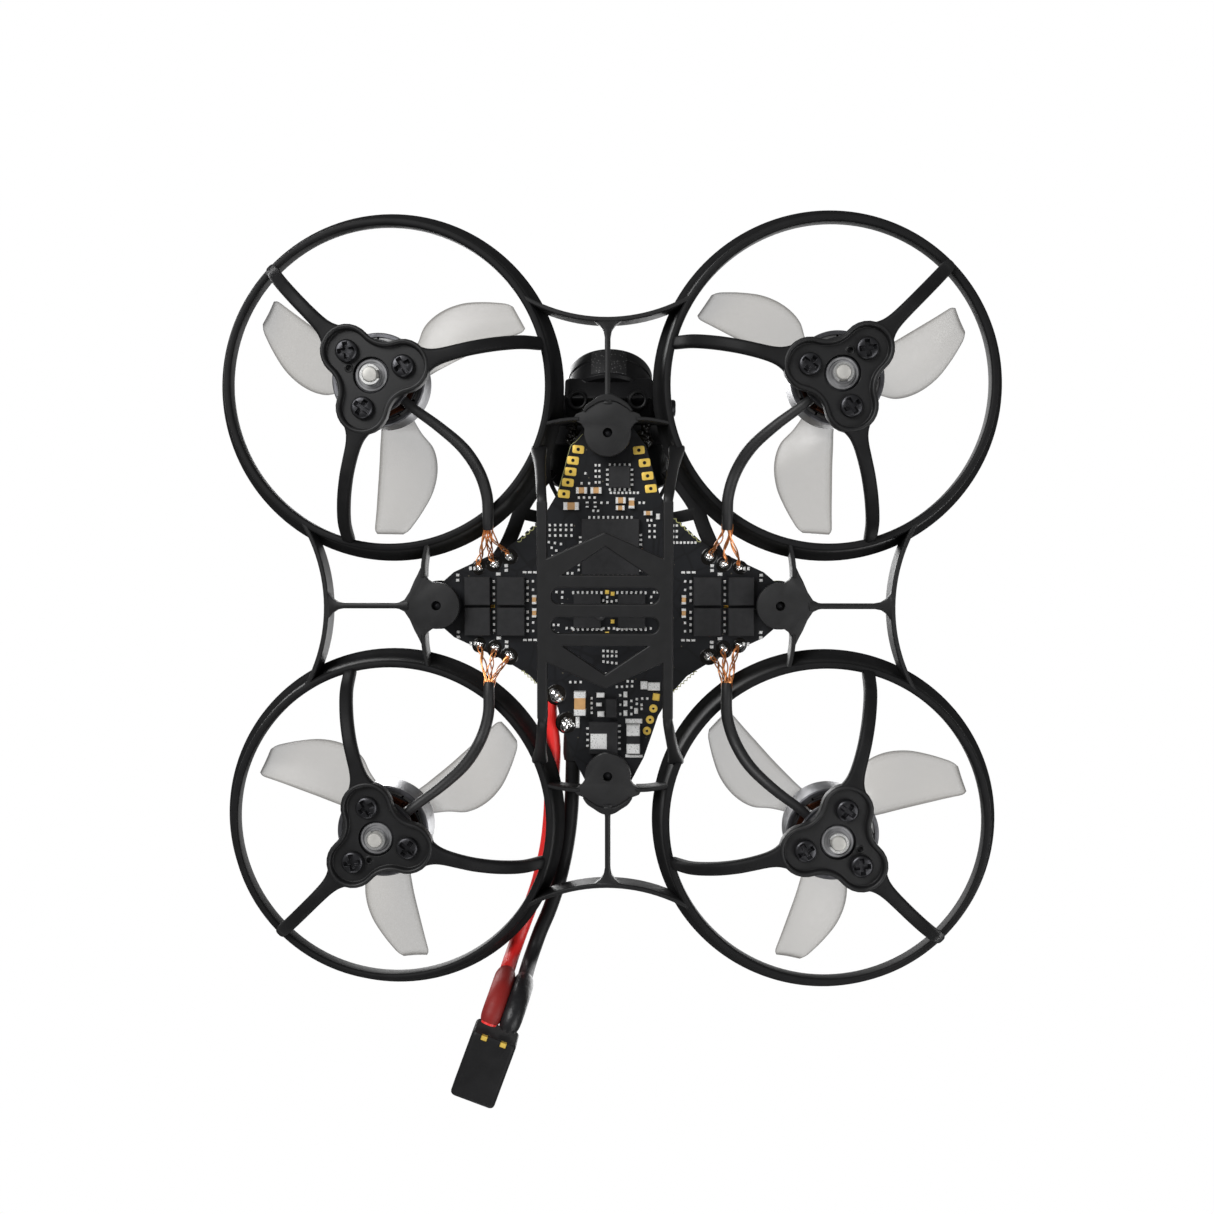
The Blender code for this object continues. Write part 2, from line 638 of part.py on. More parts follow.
# ---------------------------------------------------------------------------------------------
# Flight controller and its mounting


def board_outline():
    """The diamond-shaped board with a round lobe at each mounting hole."""
    front = arc((0.0, -PAD_REACH), BOARD_LOBE, 205.0, 335.0, 6)
    side = arc((PAD_REACH, 0.0), BOARD_LOBE, -65.0, 65.0, 6)
    split = next(index for index, (_, y) in enumerate(BOARD_EDGE) if y > 0)
    right = BOARD_EDGE[:split] + side + BOARD_EDGE[split:]
    rear = arc((0.0, PAD_REACH), BOARD_LOBE, 25.0, 155.0, 6)
    return front + right + rear + [(-x, y) for x, y in reversed(right)]


def make_board(circuit, rubber, screw_steel):
    """The flight controller on its four rubber dampers and screws."""
    board = add_shape("board", prism(board_outline(), BOARD_BOTTOM, BOARD_TOP))
    spots = {side: turned_about_z(turn) @ Vector((PAD_REACH, 0.0, 0.0)) for side, turn in SIDES.items()}
    low, high = BOARD_BOTTOM - 0.5, BOARD_TOP + 0.5
    cut(board, [prism(circle(BOARD_HOLE, 12, spot.xy), low, high) for spot in spots.values()])
    finish(board, "flight_controller", circuit)
    neck, bore = BOARD_HOLE - 0.1, BOARD_SCREW_RADIUS + 0.12
    foot, under, over = PAD_TOP + CLEARANCE, BOARD_BOTTOM - CLEARANCE, BOARD_TOP + CLEARANCE
    damper = turned_ring([
        (bore, foot), (DAMPER_RADIUS, foot), (DAMPER_RADIUS, under), (neck, under), (neck, over),
        (DAMPER_RADIUS, over), (DAMPER_RADIUS, DAMPER_TOP), (bore, DAMPER_TOP),
    ], 12)
    seat = TAB_TOP + CLEARANCE
    screw = spindle([
        (BOARD_SCREW_RADIUS, 9.75), (BOARD_SCREW_RADIUS, seat), (BOARD_SCREW_HEAD, seat),
        (BOARD_SCREW_HEAD, seat + 0.45), (BOARD_SCREW_HEAD - 0.3, seat + 0.7),
    ], SCREW_STEPS)
    for side, spot in spots.items():
        add_part(f"damper_{side}", placed(damper, Matrix.Translation(spot)), rubber, spot)
        add_part(f"board_screw_{side}", placed(screw, Matrix.Translation(spot)), screw_steel, spot)


# ---------------------------------------------------------------------------------------------
# Camera and canopy


def camera_frame():
    """Places a shape drawn along +Z, front at z = 0, onto the camera's tilted axis."""
    return Matrix.Translation(CAMERA_RIM) @ Matrix.Rotation(math.pi / 2 - CAMERA_TILT, 4, "X")


def pivot_point():
    return camera_frame() @ Vector((0.0, 0.0, -PIVOT_DEPTH))


def make_camera(camera_plastic, glass, screw_steel):
    """The tilting camera: housing and lens, and the two screws it pivots on."""
    wide, tall = CAMERA_BLOCK
    barrel = spindle([(CAMERA_RADIUS - 0.25, -3.8), (CAMERA_RADIUS, -3.5), (CAMERA_RADIUS, 0.0)], 24)
    block = prism([(wide, -tall), (wide, tall), (-wide, tall), (-wide, -tall)], -6.0, -3.3)
    body = union("camera", [barrel, block])
    bore = spindle([(CAMERA_LENS_BORE, -2.7), (CAMERA_LENS_BORE, -0.8), (CAMERA_LENS_BORE + 0.6, 0.5)], 20)
    across = Matrix.Translation((0.0, 0.0, -PIVOT_DEPTH)) @ Matrix.Rotation(math.pi / 2, 4, "Y")
    pockets = [placed(spindle([(0.7, 4.4 * side), (0.7, 6.5 * side)], 12), across) for side in (-1, 1)]
    cut(body, [bore] + pockets)
    spot = pivot_point()
    housing = add_shape("housing", placed(as_shape(body), camera_frame()))
    eyes = []
    for side in (-1, 1):
        eye = spindle([(1.35, 12.75), (1.35, 14.4)], 16)
        eyes.append(placed(eye, Matrix.Translation((3.1 * side, -22.35, 0.0))))
    housing = union("camera", [as_shape(housing)] + eyes)
    wells = []
    for side in (-1, 1):
        well = spindle([(0.95, 12.5), (0.95, 13.6)], 12)
        wells.append(placed(well, Matrix.Translation((3.1 * side, -22.35, 0.0))))
    cut(housing, wells)
    add_part("camera_body", as_shape(housing), camera_plastic, spot)
    reach = CAMERA_LENS_BORE - 0.1
    lens = spindle([(reach, -2.6), (reach, -1.2), (2.6, -1.0), (2.3, -0.6), (1.3, -0.35)], 20)
    add_part("camera_lens", placed(lens, camera_frame()), glass, spot)
    for name, side in (("left", 1), ("right", -1)):
        screw = spindle([(0.5, 4.7), (0.5, 6.65), (1.0, 6.65), (1.0, 7.1), (0.75, 7.3)], SCREW_STEPS)
        turn = Matrix.Translation(spot) @ Matrix.Rotation(math.radians(90.0 * side), 4, "Y")
        add_part(f"camera_screw_{name}", placed(screw, turn), screw_steel, spot)


def arch_loop(y, z, lean, half_width, height, depth):
    """A closed arch-shaped loop: outer face up and over, inner face back."""
    up = Vector((0.0, math.sin(math.radians(lean)), math.cos(math.radians(lean))))
    centre = Vector((0.0, y, z))
    loop = []
    for inset, order in ((0.0, 1), (CANOPY_WALL, -1)):
        turns = [math.pi * index / 8 for index in range(9)][::order]
        curve = [((half_width - inset) * math.cos(turn), (height - inset) * math.sin(turn)) for turn in turns]
        foot = (half_width - inset, -depth)
        ends = (foot, (-foot[0], foot[1]))[::order]
        for across, rise in [ends[0]] + curve + [ends[1]]:
            loop.append(centre + Vector((across, 0.0, 0.0)) + up * rise)
    return loop


def strut(route, width, thickness):
    """A flat strut laid along a route."""
    path = [Vector(point) for point in route]
    along = path[-1] - path[0]
    side = Vector((-along.y, along.x, 0.0)).normalized()
    return bar(path, side, [width] * len(path), thickness)


def make_canopy(plastic):
    """The canopy: an arched shell over the camera and board, with a mounting tab on each side."""
    shell = loft([arch_loop(*arch) for arch in CANOPY_ARCHES])
    parts = [shell]
    for side in (-1, 1):
        parts.append(strut([(x * side, y, z) for x, y, z in SIDE_STRUT], 1.2, 0.55))
        parts.append(strut([(x * side, y, z) for x, y, z in SIDE_BRANCH], 0.9, 0.5))
    for half_width, rear, front in ((6.4, -17.2, -19.2), (1.6, 17.6, 14.9)):
        tongue = [(-half_width, front), (half_width, front), (half_width, rear), (-half_width, rear)]
        parts.append(prism(tongue, TAB_BOTTOM + 0.02, TAB_TOP - 0.02))
    spots = [turned_about_z(turn) @ Vector((PAD_REACH, 0.0, 0.0)) for turn in SIDES.values()]
    parts += [prism(circle(TAB_RADIUS, 16, spot.xy), TAB_BOTTOM, TAB_TOP) for spot in spots]
    canopy = union("canopy", parts)
    holes = [prism(circle(0.6, SCREW_STEPS, spot.xy), TAB_BOTTOM - 0.3, TAB_TOP + 1.5) for spot in spots]
    across = Matrix.Translation(pivot_point()) @ Matrix.Rotation(math.pi / 2, 4, "Y")
    holes.append(placed(spindle([(0.6, -8.0), (0.6, 8.0)], 12), across))
    for outline in canopy_windows():
        holes.append(loft([[(x, y, z) for y, z in outline] for x in (-8.0, 8.0)]))
    cut(canopy, holes)
    finish(canopy, "canopy", plastic)


def canopy_windows():
    """Side windows of the canopy, in (y, z)."""
    return [
        [(-13.6, 15.6), (-6.8, 15.4), (-5.6, 17.2), (-8.8, 19.6), (-12.8, 20.2)],
        [(-3.6, 15.0), (4.6, 14.7), (4.2, 16.4), (-1.4, 18.4), (-3.6, 17.8)],
    ]


# ---------------------------------------------------------------------------------------------
# Wires


def make_wires(sleeve, red, black, plug_plastic, ribbon, wire):
    """Motor leads, camera cable, antenna and the battery leads with their plug."""
    for corner, (x_side, y_side) in CORNERS.items():
        route = [(-x * x_side, -y * y_side, z) for x, y, z in MOTOR_LEAD_ROUTE]
        add_cord(f"motor_lead_{corner}", route, MOTOR_LEAD_RADIUS, sleeve)
    cable = [Vector((0.0, y, z)) for y, z in CABLE_LINE]
    add_part("camera_cable", bar(cable, Vector((1.0, 0.0, 0.0)), [2.4] * len(cable), 0.6), ribbon)
    antenna = spindle([(0.3, BOARD_TOP + 0.1), (0.3, 26.0)], 8)
    lean = Matrix.Translation((5.0, 8.3, 0.0))
    add_part("video_antenna", placed(antenna, lean), wire)
    add_cord("power_lead_red", RED_ROUTE, POWER_LEAD_RADIUS, red)
    add_cord("power_lead_black", BLACK_ROUTE, POWER_LEAD_RADIUS, black)
    width, length, height = PLUG_SIZE
    half, nip = width / 2, PLUG_CORNER
    outline = [
        (-half, nip), (-half + nip, 0.0), (half - nip, 0.0), (half, nip),
        (half, height - nip), (half - nip, height), (-half + nip, height), (-half, height - nip),
    ]
    side = PLUG_DIRECTION.cross(Vector((0.0, 0.0, 1.0)))
    ends = (PLUG_BACK, PLUG_BACK + PLUG_DIRECTION * length)
    plug = loft([[end + side * x + Vector((0.0, 0.0, z)) for x, z in outline] for end in ends])
    add_part("power_plug", plug, plug_plastic)


# ---------------------------------------------------------------------------------------------


def main():
    for old in list(bpy.data.objects):
        bpy.data.objects.remove(old)
    moulded = material("moulded black plastic", (0.018, 0.018, 0.019), 0.45)
    board = material("black solder mask", (0.012, 0.013, 0.016), 0.4)
    rubber = material("damper rubber", (0.03, 0.03, 0.03), 0.7)
    steel = material("steel", (0.62, 0.62, 0.6), 0.25, 1.0)
    black_steel = material("black screw steel", (0.05, 0.05, 0.055), 0.35, 0.9)
    base_metal = material("motor base aluminium", (0.09, 0.09, 0.1), 0.4, 0.8)
    bell_metal = material("motor bell alloy", (0.2, 0.2, 0.21), 0.35, 0.9)
    copper = material("copper winding", (0.72, 0.3, 0.12), 0.35, 0.9)
    prop_plastic = material("smoky propeller plastic", (0.55, 0.53, 0.51), 0.2, 0.0, 0.55)
    camera_plastic = material("camera plastic", (0.015, 0.015, 0.016), 0.4)
    glass = material("lens glass", (0.01, 0.01, 0.02), 0.05)
    red = material("red silicone", (0.75, 0.03, 0.02), 0.5)
    black = material("black silicone", (0.015, 0.015, 0.015), 0.5)
    sleeve = material("black sleeve", (0.02, 0.02, 0.02), 0.55)
    ribbon = material("camera cable", (0.03, 0.03, 0.03), 0.5)
    make_frame(moulded)
    make_rotors(base_metal, copper, bell_metal, steel, prop_plastic, black_steel)
    make_board(board, rubber, black_steel)
    make_camera(camera_plastic, glass, black_steel)
    make_canopy(moulded)
    make_wires(sleeve, red, black, moulded, ribbon, black)


main()
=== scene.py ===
"""Looks for the mini palm drone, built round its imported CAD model.

Shape functions work in millimetres, in the CAD model's own frame: the tray's underside is z = 0,
the camera looks towards -Y and +Z is up.  add() turns a shape into an object in metres.
"""

import random
from math import atan2, copysign, cos, degrees, dist, pi, radians, sin, sqrt, tan

import bmesh
import bpy
from mathutils import Matrix, Vector


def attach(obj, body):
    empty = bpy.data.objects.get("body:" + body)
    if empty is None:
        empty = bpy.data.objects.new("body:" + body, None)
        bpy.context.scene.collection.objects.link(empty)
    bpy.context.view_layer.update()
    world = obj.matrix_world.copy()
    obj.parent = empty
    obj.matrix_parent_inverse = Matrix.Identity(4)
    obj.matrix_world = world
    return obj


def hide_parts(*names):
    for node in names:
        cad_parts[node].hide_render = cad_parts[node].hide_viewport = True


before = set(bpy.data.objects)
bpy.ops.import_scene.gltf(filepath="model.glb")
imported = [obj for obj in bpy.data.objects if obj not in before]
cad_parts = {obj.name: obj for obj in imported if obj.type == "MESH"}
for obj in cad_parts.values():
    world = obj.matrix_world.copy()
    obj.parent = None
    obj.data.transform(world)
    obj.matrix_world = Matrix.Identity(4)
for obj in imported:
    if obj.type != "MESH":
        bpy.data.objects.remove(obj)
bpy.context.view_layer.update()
MM = 0.001
FLOOR_DROP = 0.03 * MM
ROTOR_OFFSET = 65 / (2 * sqrt(2))
CORNERS = {
    "front_right": (-1, -1), "front_left": (1, -1), "rear_right": (-1, 1), "rear_left": (1, 1),
}
SIDES = {"front": -90, "left": 0, "rear": 90, "right": 180}
THIRDS = (0, 120, 240)
PAD_REACH = 18.03
X_AXIS, Y_AXIS, Z_AXIS = Matrix.Identity(3)
random.seed(65)


def show(name, data):
    """A new object in the scene."""
    new = bpy.data.objects.new(name, data)
    bpy.context.scene.collection.objects.link(new)
    return new


def plug(tree, socket, value):
    """Set a shader's input to a value, or link it from another node's output."""
    if isinstance(value, bpy.types.NodeSocket):
        tree.links.new(value, socket)
    else:
        socket.default_value = value


def node(tree, kind, **inputs):
    """A new shader node, with some of its inputs set or linked."""
    new = tree.nodes.new("ShaderNode" + kind)
    for name, value in inputs.items():
        plug(tree, new.inputs[name.replace("_", " ")], value)
    return new


def mixed(tree, share, low, high):
    """A mix of two colours."""
    mix = node(tree, "Mix")
    mix.data_type = "RGBA"
    for index, value in ((0, share), (6, low), (7, high)):
        plug(tree, mix.inputs[index], value)
    return mix.outputs[2]


# --- Camera, floor and light ---


def make_camera():
    data = bpy.data.cameras.new("camera")
    data.lens = 33.98
    data.sensor_width = 36
    data.clip_start = 0.005
    camera = show("camera", data)
    camera.location = (0.003443, -0.006059, -0.110473)
    camera.rotation_euler = [radians(turn) for turn in (177.054, -1.677, 0.006)]
    bpy.context.scene.camera = camera


def make_world():
    """White surroundings, brighter to look at than they light the drone."""
    world = bpy.data.worlds.new("studio")
    world.use_nodes = True
    tree = world.node_tree
    seen = node(tree, "LightPath").outputs["Is Camera Ray"]
    amount = node(tree, "MapRange", Value=seen, To_Min=0.2, To_Max=1)
    background = tree.nodes["Background"].inputs
    plug(tree, background["Strength"], amount.outputs["Result"])
    plug(tree, background["Color"], (1, 1, 1, 1))
    bpy.context.scene.world = world
    bpy.context.scene.view_settings.view_transform = "Standard"


def make_floor():
    """A pale floor, evenly bright far off, and clear from underneath where the photo is taken."""
    shape = bmesh.new()
    bmesh.ops.create_grid(shape, x_segments=1, y_segments=1, size=1.6)
    mesh = bpy.data.meshes.new("floor")
    shape.to_mesh(mesh)
    floor = show("floor", mesh)
    floor.location.z = -FLOOR_DROP
    pale = bpy.data.materials.new("floor")
    pale.use_nodes = True
    tree = pale.node_tree
    away = node(tree, "VectorMath", Vector=node(tree, "TexCoord").outputs["Object"])
    away.operation = "LENGTH"
    glow = node(
        tree, "MapRange", Value=away.outputs["Value"], From_Min=0.12, From_Max=1, To_Max=0.75,
    ).outputs["Result"]
    grain = node(tree, "TexNoise", Scale=60).outputs["Fac"]
    tone = mixed(tree, grain, (0.80, 0.80, 0.79, 1), (0.84, 0.84, 0.835, 1))
    shader = tree.nodes["Principled BSDF"]
    for name, value in (
        ("Base Color", tone), ("Roughness", 0.6), ("Emission Color", (1, 1, 0.99, 1)),
        ("Emission Strength", glow),
    ):
        plug(tree, shader.inputs[name], value)
    either = node(tree, "MixShader", Fac=node(tree, "NewGeometry").outputs["Backfacing"])
    plug(tree, either.inputs[1], shader.outputs[0])
    plug(tree, either.inputs[2], node(tree, "BsdfTransparent").outputs[0])
    plug(tree, tree.nodes["Material Output"].inputs["Surface"], either.outputs[0])
    mesh.materials.append(pale)
    for ray in ("shadow", "diffuse", "glossy", "transmission"):
        setattr(floor, f"visible_{ray}", False)


def make_lights():
    """Large soft boxes on every side, the strongest on the side that the camera is on."""
    for name, place, size, power in (
        ("key", (-0.24, -0.24, -0.32), 0.24, 2.4), ("fill", (0.3, 0.16, -0.3), 0.3, 1.2),
        ("rim", (-0.05, 0.42, -0.12), 0.2, 0.3), ("top", (-0.2, -0.12, 0.42), 0.3, 2.1),
        ("top_fill", (0.2, 0.1, 0.42), 0.3, 1),
    ):
        data = bpy.data.lights.new(name, "AREA")
        data.size = size
        data.energy = power
        lamp = show(name, data)
        lamp.location = place
        lamp.rotation_euler = (-Vector(place)).to_track_quat("-Z", "Y").to_euler()


# --- Materials ---


def surface(name, colour, roughness, metallic=0, grain=0.12, relief=0.006, spread=0.2, edge=0,
            uneven=0.12, **sockets):
    """A Principled material with fine grain, slow colour and gloss changes and softened edges.

    grain, relief and edge are in millimetres; sockets sets any other input of the shader.
    """
    made = bpy.data.materials.new(name)
    made.use_nodes = True
    tree = made.node_tree
    place = node(tree, "TexCoord").outputs["Object"]
    fine, slow = [
        node(tree, "TexNoise", Vector=place, Scale=1 / (size * MM), Detail=detail).outputs["Fac"]
        for size, detail in ((grain, 3), (grain * 14, 5))
    ]
    stretch = node(tree, "MapRange", Value=slow, From_Min=0.3, From_Max=0.7).outputs["Result"]
    tones = [(*[min(1, value * share) for value in colour], 1) for share in (1 - spread, 1 + spread)]
    low, high = max(0.03, roughness - uneven), min(1, roughness + uneven)
    bump = node(tree, "Bump", Height=fine, Distance=relief * MM)
    if edge:
        plug(tree, bump.inputs["Normal"], node(tree, "Bevel", Radius=edge * MM).outputs["Normal"])
    sockets.update(
        Base_Color=mixed(tree, stretch, *tones), Metallic=metallic, Normal=bump.outputs["Normal"],
        Roughness=node(tree, "MapRange", Value=fine, To_Min=low, To_Max=high).outputs["Result"],
    )
    for socket, value in sockets.items():
        plug(tree, tree.nodes["Principled BSDF"].inputs[socket.replace("_", " ")], value)
    return made


def tinted(made, mask, colour):
    """Mix a second colour over a material's own where mask is 1."""
    tree = made.node_tree
    base = tree.nodes["Principled BSDF"].inputs["Base Color"]
    plug(tree, base, mixed(tree, mask, base.links[0].from_socket, (*colour, 1)))
    return made


def dotted(made, size, start, end, colour, randomness=1, **kind):
    """Tint the cells of a pattern, size millimetres apart, where the distance is below end."""
    tree = made.node_tree
    cells = node(
        tree, "TexVoronoi", Vector=node(tree, "TexCoord").outputs["Object"], Scale=1 / (size * MM),
        Randomness=randomness,
    )
    for name, value in kind.items():
        setattr(cells, name, value)
    mask = node(tree, "MapRange", Value=cells.outputs["Distance"], From_Min=start, From_Max=end)
    return tinted(made, mask.outputs["Result"], colour)


def prop_material():
    """Smoky clear plastic, darker and less clear towards the blades' edges and root; towards the
    outline and tip this is painted shade for how light bends and reflects at the clear plastic's edges.
    """
    made = surface(
        "smoky_plastic", (0.2, 0.18, 0.148), 0.26, relief=0.002, grain=0.6, spread=0.1, IOR=1.45,
    )
    tree = made.node_tree
    # painted shade: the rim mask darkens the blades and makes them less clear towards their outline,
    # tip and root
    rim = node(tree, "Attribute")
    rim.attribute_name = "rim"
    clear = node(tree, "MapRange", Value=rim.outputs["Fac"], To_Min=0.34, To_Max=0.7)
    plug(tree, tree.nodes["Principled BSDF"].inputs["Alpha"], clear.outputs["Result"])
    return tinted(made, rim.outputs["Fac"], (0.1, 0.092, 0.082))


def board_material():
    """Black solder mask with faint copper areas under it and small plated holes."""
    made = surface(
        "solder_mask", (0.0085, 0.009, 0.0105), 0.34, relief=0.002, grain=0.4, uneven=0.06,
        Specular_IOR_Level=0.3,
    )
    dotted(
        made, 2.6, 0.05, 0.035, (0.006, 0.0062, 0.007), distance="CHEBYCHEV",
        feature="DISTANCE_TO_EDGE",
    )
    return dotted(made, 1.25, 0.075, 0.05, (0.09, 0.08, 0.06), 0.85)


def speckle_material():
    """Black paint with fine pale specks."""
    made = surface("speckled_grip", (0.012, 0.012, 0.0125), 0.5, grain=0.13, relief=0.03,
                   Specular_IOR_Level=0.3)
    return dotted(made, 0.26, 0.24, 0.16, (0.13, 0.13, 0.13))


def woven_material(name, colour):
    """A braided sleeve."""
    made = surface(name, colour, 0.55, relief=0.004, grain=0.1)
    tree = made.node_tree
    place = node(tree, "TexCoord").outputs["Object"]
    weave = node(tree, "TexBrick", Vector=place, Scale=1 / (0.9 * MM), Mortar_Size=0.03)
    relief = node(
        tree, "Bump", Height=weave.outputs["Fac"], Distance=0.03 * MM,
        Normal=tree.nodes["Bump"].outputs["Normal"],
    )
    plug(tree, tree.nodes["Principled BSDF"].inputs["Normal"], relief.outputs["Normal"])
    return made


LOOKS = {
    "speckle": speckle_material(),
    "prop": prop_material(),
    "mask": board_material(),
    "sleeve": woven_material("braided_sleeve", (0.008, 0.008, 0.0085)),
    "glass": surface(
        "lens_glass", (0.008, 0.01, 0.02), 0.05, grain=0.6, relief=0, uneven=0.02, Coat_Weight=1,
        Coat_Roughness=0.03,
    ),
}
# Each look's name, its material, colour, roughness, metallic, grain, relief, spread, edge and
# how strongly it reflects at its face.
for look, *rest, reflection in (
    ("frame", "moulded_black", (0.007, 0.007, 0.0074), 0.48, 0, 0.09, 0.008, 0.2, 0.12, 0.3),
    ("duct", "moulded_duct", (0.0062, 0.0062, 0.0066), 0.6, 0, 0.09, 0.006, 0.2, 0, 0.16),
    ("pad", "moulded_pad", (0.011, 0.011, 0.0115), 0.55, 0, 0.09, 0.012, 0.2, 0.06, 0.3),
    ("canopy", "canopy_black", (0.006, 0.006, 0.0065), 0.54, 0, 0.14, 0.01, 0.2, 0.1, 0.16),
    ("camera", "camera_black", (0.0055, 0.0055, 0.006), 0.4, 0, 0.1, 0.006, 0.2, 0.1, 0.16),
    ("base", "anodised_black", (0.03, 0.03, 0.033), 0.36, 0.6, 0.06, 0.006, 0.2, 0.08, 0.5),
    ("race", "bearing_race", (0.17, 0.17, 0.175), 0.55, 0.3, 0.08, 0.006, 0.3, 0.03, 0.5),
    ("can", "motor_can", (0.13, 0.13, 0.14), 0.36, 0.9, 0.07, 0.006, 0.3, 0.08, 0.5),
    ("magnet", "magnet_nickel", (0.3, 0.3, 0.3), 0.34, 1, 0.2, 0.004, 0.2, 0, 0.5),
    # copper darkened far below bare wire: painted shade for the windings deep inside the motor
    ("copper", "enamelled_copper", (0.07, 0.022, 0.01), 0.3, 0.8, 0.16, 0.006, 0.9, 0, 0.5),
    ("clip", "spring_steel", (0.66, 0.66, 0.65), 0.3, 0.9, 0.06, 0.003, 0.2, 0, 0.5),
    ("strand", "bare_strand", (0.62, 0.24, 0.08), 0.3, 0.7, 0.14, 0.006, 0.55, 0, 0.5),
    ("steel", "ground_steel", (0.42, 0.412, 0.39), 0.55, 0.4, 0.09, 0.02, 0.2, 0.04, 0.5),
    ("screw", "black_screw", (0.035, 0.035, 0.038), 0.34, 0.85, 0.06, 0.006, 0.35, 0.04, 0.5),
    ("laminate", "board_edge", (0.33, 0.33, 0.13), 0.55, 0, 0.08, 0.02, 0.4, 0, 0.5),
    ("epoxy", "chip_epoxy", (0.014, 0.014, 0.015), 0.46, 0, 0.05, 0.01, 0.2, 0.03, 0.3),
    ("solder", "solder", (0.86, 0.86, 0.85), 0.3, 0.5, 0.16, 0.02, 0.14, 0, 0.5),
    ("blob", "solder_blob", (0.8, 0.8, 0.79), 0.16, 1, 0.5, 0.06, 0.15, 0, 0.5),
    ("gold", "gold_pad", (0.9, 0.62, 0.12), 0.34, 0.45, 0.1, 0.004, 0.1, 0, 0.5),
    ("tan", "capacitor", (0.42, 0.24, 0.1), 0.4, 0, 0.1, 0.006, 0.2, 0, 0.5),
    ("flux", "flux_halo", (0.006, 0.005, 0.004), 0.16, 0, 0.3, 0.01, 0.4, 0, 0.3),
    ("damper", "damper_rubber", (0.01, 0.01, 0.01), 0.62, 0, 0.12, 0.012, 0.2, 0.1, 0.3),
    ("shrink", "heat_shrink", (0.01, 0.01, 0.011), 0.36, 0, 0.5, 0.05, 0.2, 0, 0.3),
    ("red_shrink", "red_shrink", (0.2, 0.012, 0.01), 0.55, 0, 0.3, 0.03, 0.2, 0, 0.3),
    ("ribbon", "flat_cable", (0.02, 0.017, 0.012), 0.34, 0, 0.2, 0.004, 0.2, 0, 0.5),
    ("red", "red_silicone", (0.72, 0.018, 0.016), 0.44, 0, 0.2, 0.008, 0.1, 0, 0.5),
    ("black", "black_silicone", (0.009, 0.009, 0.0095), 0.5, 0, 0.2, 0.008, 0.2, 0, 0.16),
    ("plug", "plug_nylon", (0.01, 0.01, 0.0105), 0.5, 0, 0.15, 0.008, 0.2, 0.1, 0.16),
):
    LOOKS[look] = surface(*rest, Specular_IOR_Level=reflection)


# --- Shapes, as bmeshes in millimetres ---


def loft(sections, ring=False):
    """Skin a run of equal loops of points, capped at both ends unless the run closes on itself."""
    shape = bmesh.new()
    rows = [[shape.verts.new(point) for point in section] for section in sections]
    following = rows[1:] + rows[:1] if ring else rows[1:]
    for row, after in zip(rows, following):
        for index in range(len(row)):
            beside = (index + 1) % len(row)
            shape.faces.new((row[index], row[beside], after[beside], after[index]))
    if not ring:
        shape.faces.new(rows[0])
        shape.faces.new(rows[-1])
    bmesh.ops.recalc_face_normals(shape, faces=shape.faces)
    return shape


def refine(rows, per):
    """More rows of numbers on the Catmull-Rom curve through the given ones."""
    rows = [tuple(row) for row in rows]
    ends = [tuple(2 * a - b for a, b in zip(rows[0], rows[1]))]
    ends.append(tuple(2 * a - b for a, b in zip(rows[-1], rows[-2])))
    rows = [ends[0]] + rows + [ends[1]]
    made = []
    for p, q, r, s in zip(rows, rows[1:], rows[2:], rows[3:]):
        for step in range(per):
            t = step / per
            made.append(tuple(
                0.5 * (2 * b + (c - a) * t + (2 * a - 5 * b + 4 * c - d) * t * t
                       + (3 * b - a - 3 * c + d) * t ** 3)
                for a, b, c, d in zip(p, q, r, s)
            ))
    return made + [rows[-2]]


def circle(radius, steps):
    turns = [2 * pi * index / steps for index in range(steps)]
    return [(radius * cos(turn), radius * sin(turn)) for turn in turns]


def arc(centre, radius, start, end, steps):
    angles = [radians(start + (end - start) * index / steps) for index in range(steps + 1)]
    return [(centre[0] + radius * cos(turn), centre[1] + radius * sin(turn)) for turn in angles]


def rounded_box(half_width, half_height, radius, steps, rise=0):
    """A rectangle with round corners, as an outline about (0, rise)."""
    outline = []
    for x, y, start in ((1, 1, 0), (-1, 1, 90), (-1, -1, 180), (1, -1, 270)):
        centre = (x * (half_width - radius), rise + y * (half_height - radius))
        outline += arc(centre, radius, start, start + 90, steps)
    return outline


def rect(left, low, right, high):
    return [(left, low), (right, low), (right, high), (left, high)]


def mirrored(half):
    """Half an outline and its mirror image in the X axis, one after the other."""
    return half + [(x, -y) for x, y in reversed(half[:-1])]


def prism(outline, bottom, top):
    return loft([[(x, y, height) for x, y in outline] for height in (bottom, top)])


def rounded_prism(outline, bottom, top, edge, steps=3):
    """A plan outline raised from bottom to top, with both rims rounded inwards."""
    centre = (sum(x for x, _ in outline) / len(outline), sum(y for _, y in outline) / len(outline))
    reach = max(dist(point, centre) for point in outline)
    rims = []
    for index in range(steps + 1):
        turn = pi / 2 * index / steps
        rims.append((edge * (1 - sin(turn)), edge * (1 - cos(turn))))
    levels = [(inset, bottom + rise) for inset, rise in rims]
    levels += [(inset, top - rise) for inset, rise in reversed(rims)]
    sections = []
    for inset, height in levels:
        share = 1 - inset / reach
        sections.append([
            (centre[0] + (x - centre[0]) * share, centre[1] + (y - centre[1]) * share, height)
            for x, y in outline
        ])
    return loft(sections)


def spindle(profile, steps):
    """A turned solid on the Z axis, from its first (radius, height) pair to its last."""
    return loft([[(x, y, height) for x, y in circle(radius, steps)] for radius, height in profile])


def turned_ring(profile, steps, start=0, sweep=360):
    """A (radius, height) section swept round Z, all the way or part of it."""
    whole = sweep >= 360
    turns = [radians(start + sweep * index / steps) for index in range(steps + (not whole))]
    sections = [[(r * cos(turn), r * sin(turn), z) for r, z in profile] for turn in turns]
    return loft(sections, ring=whole)


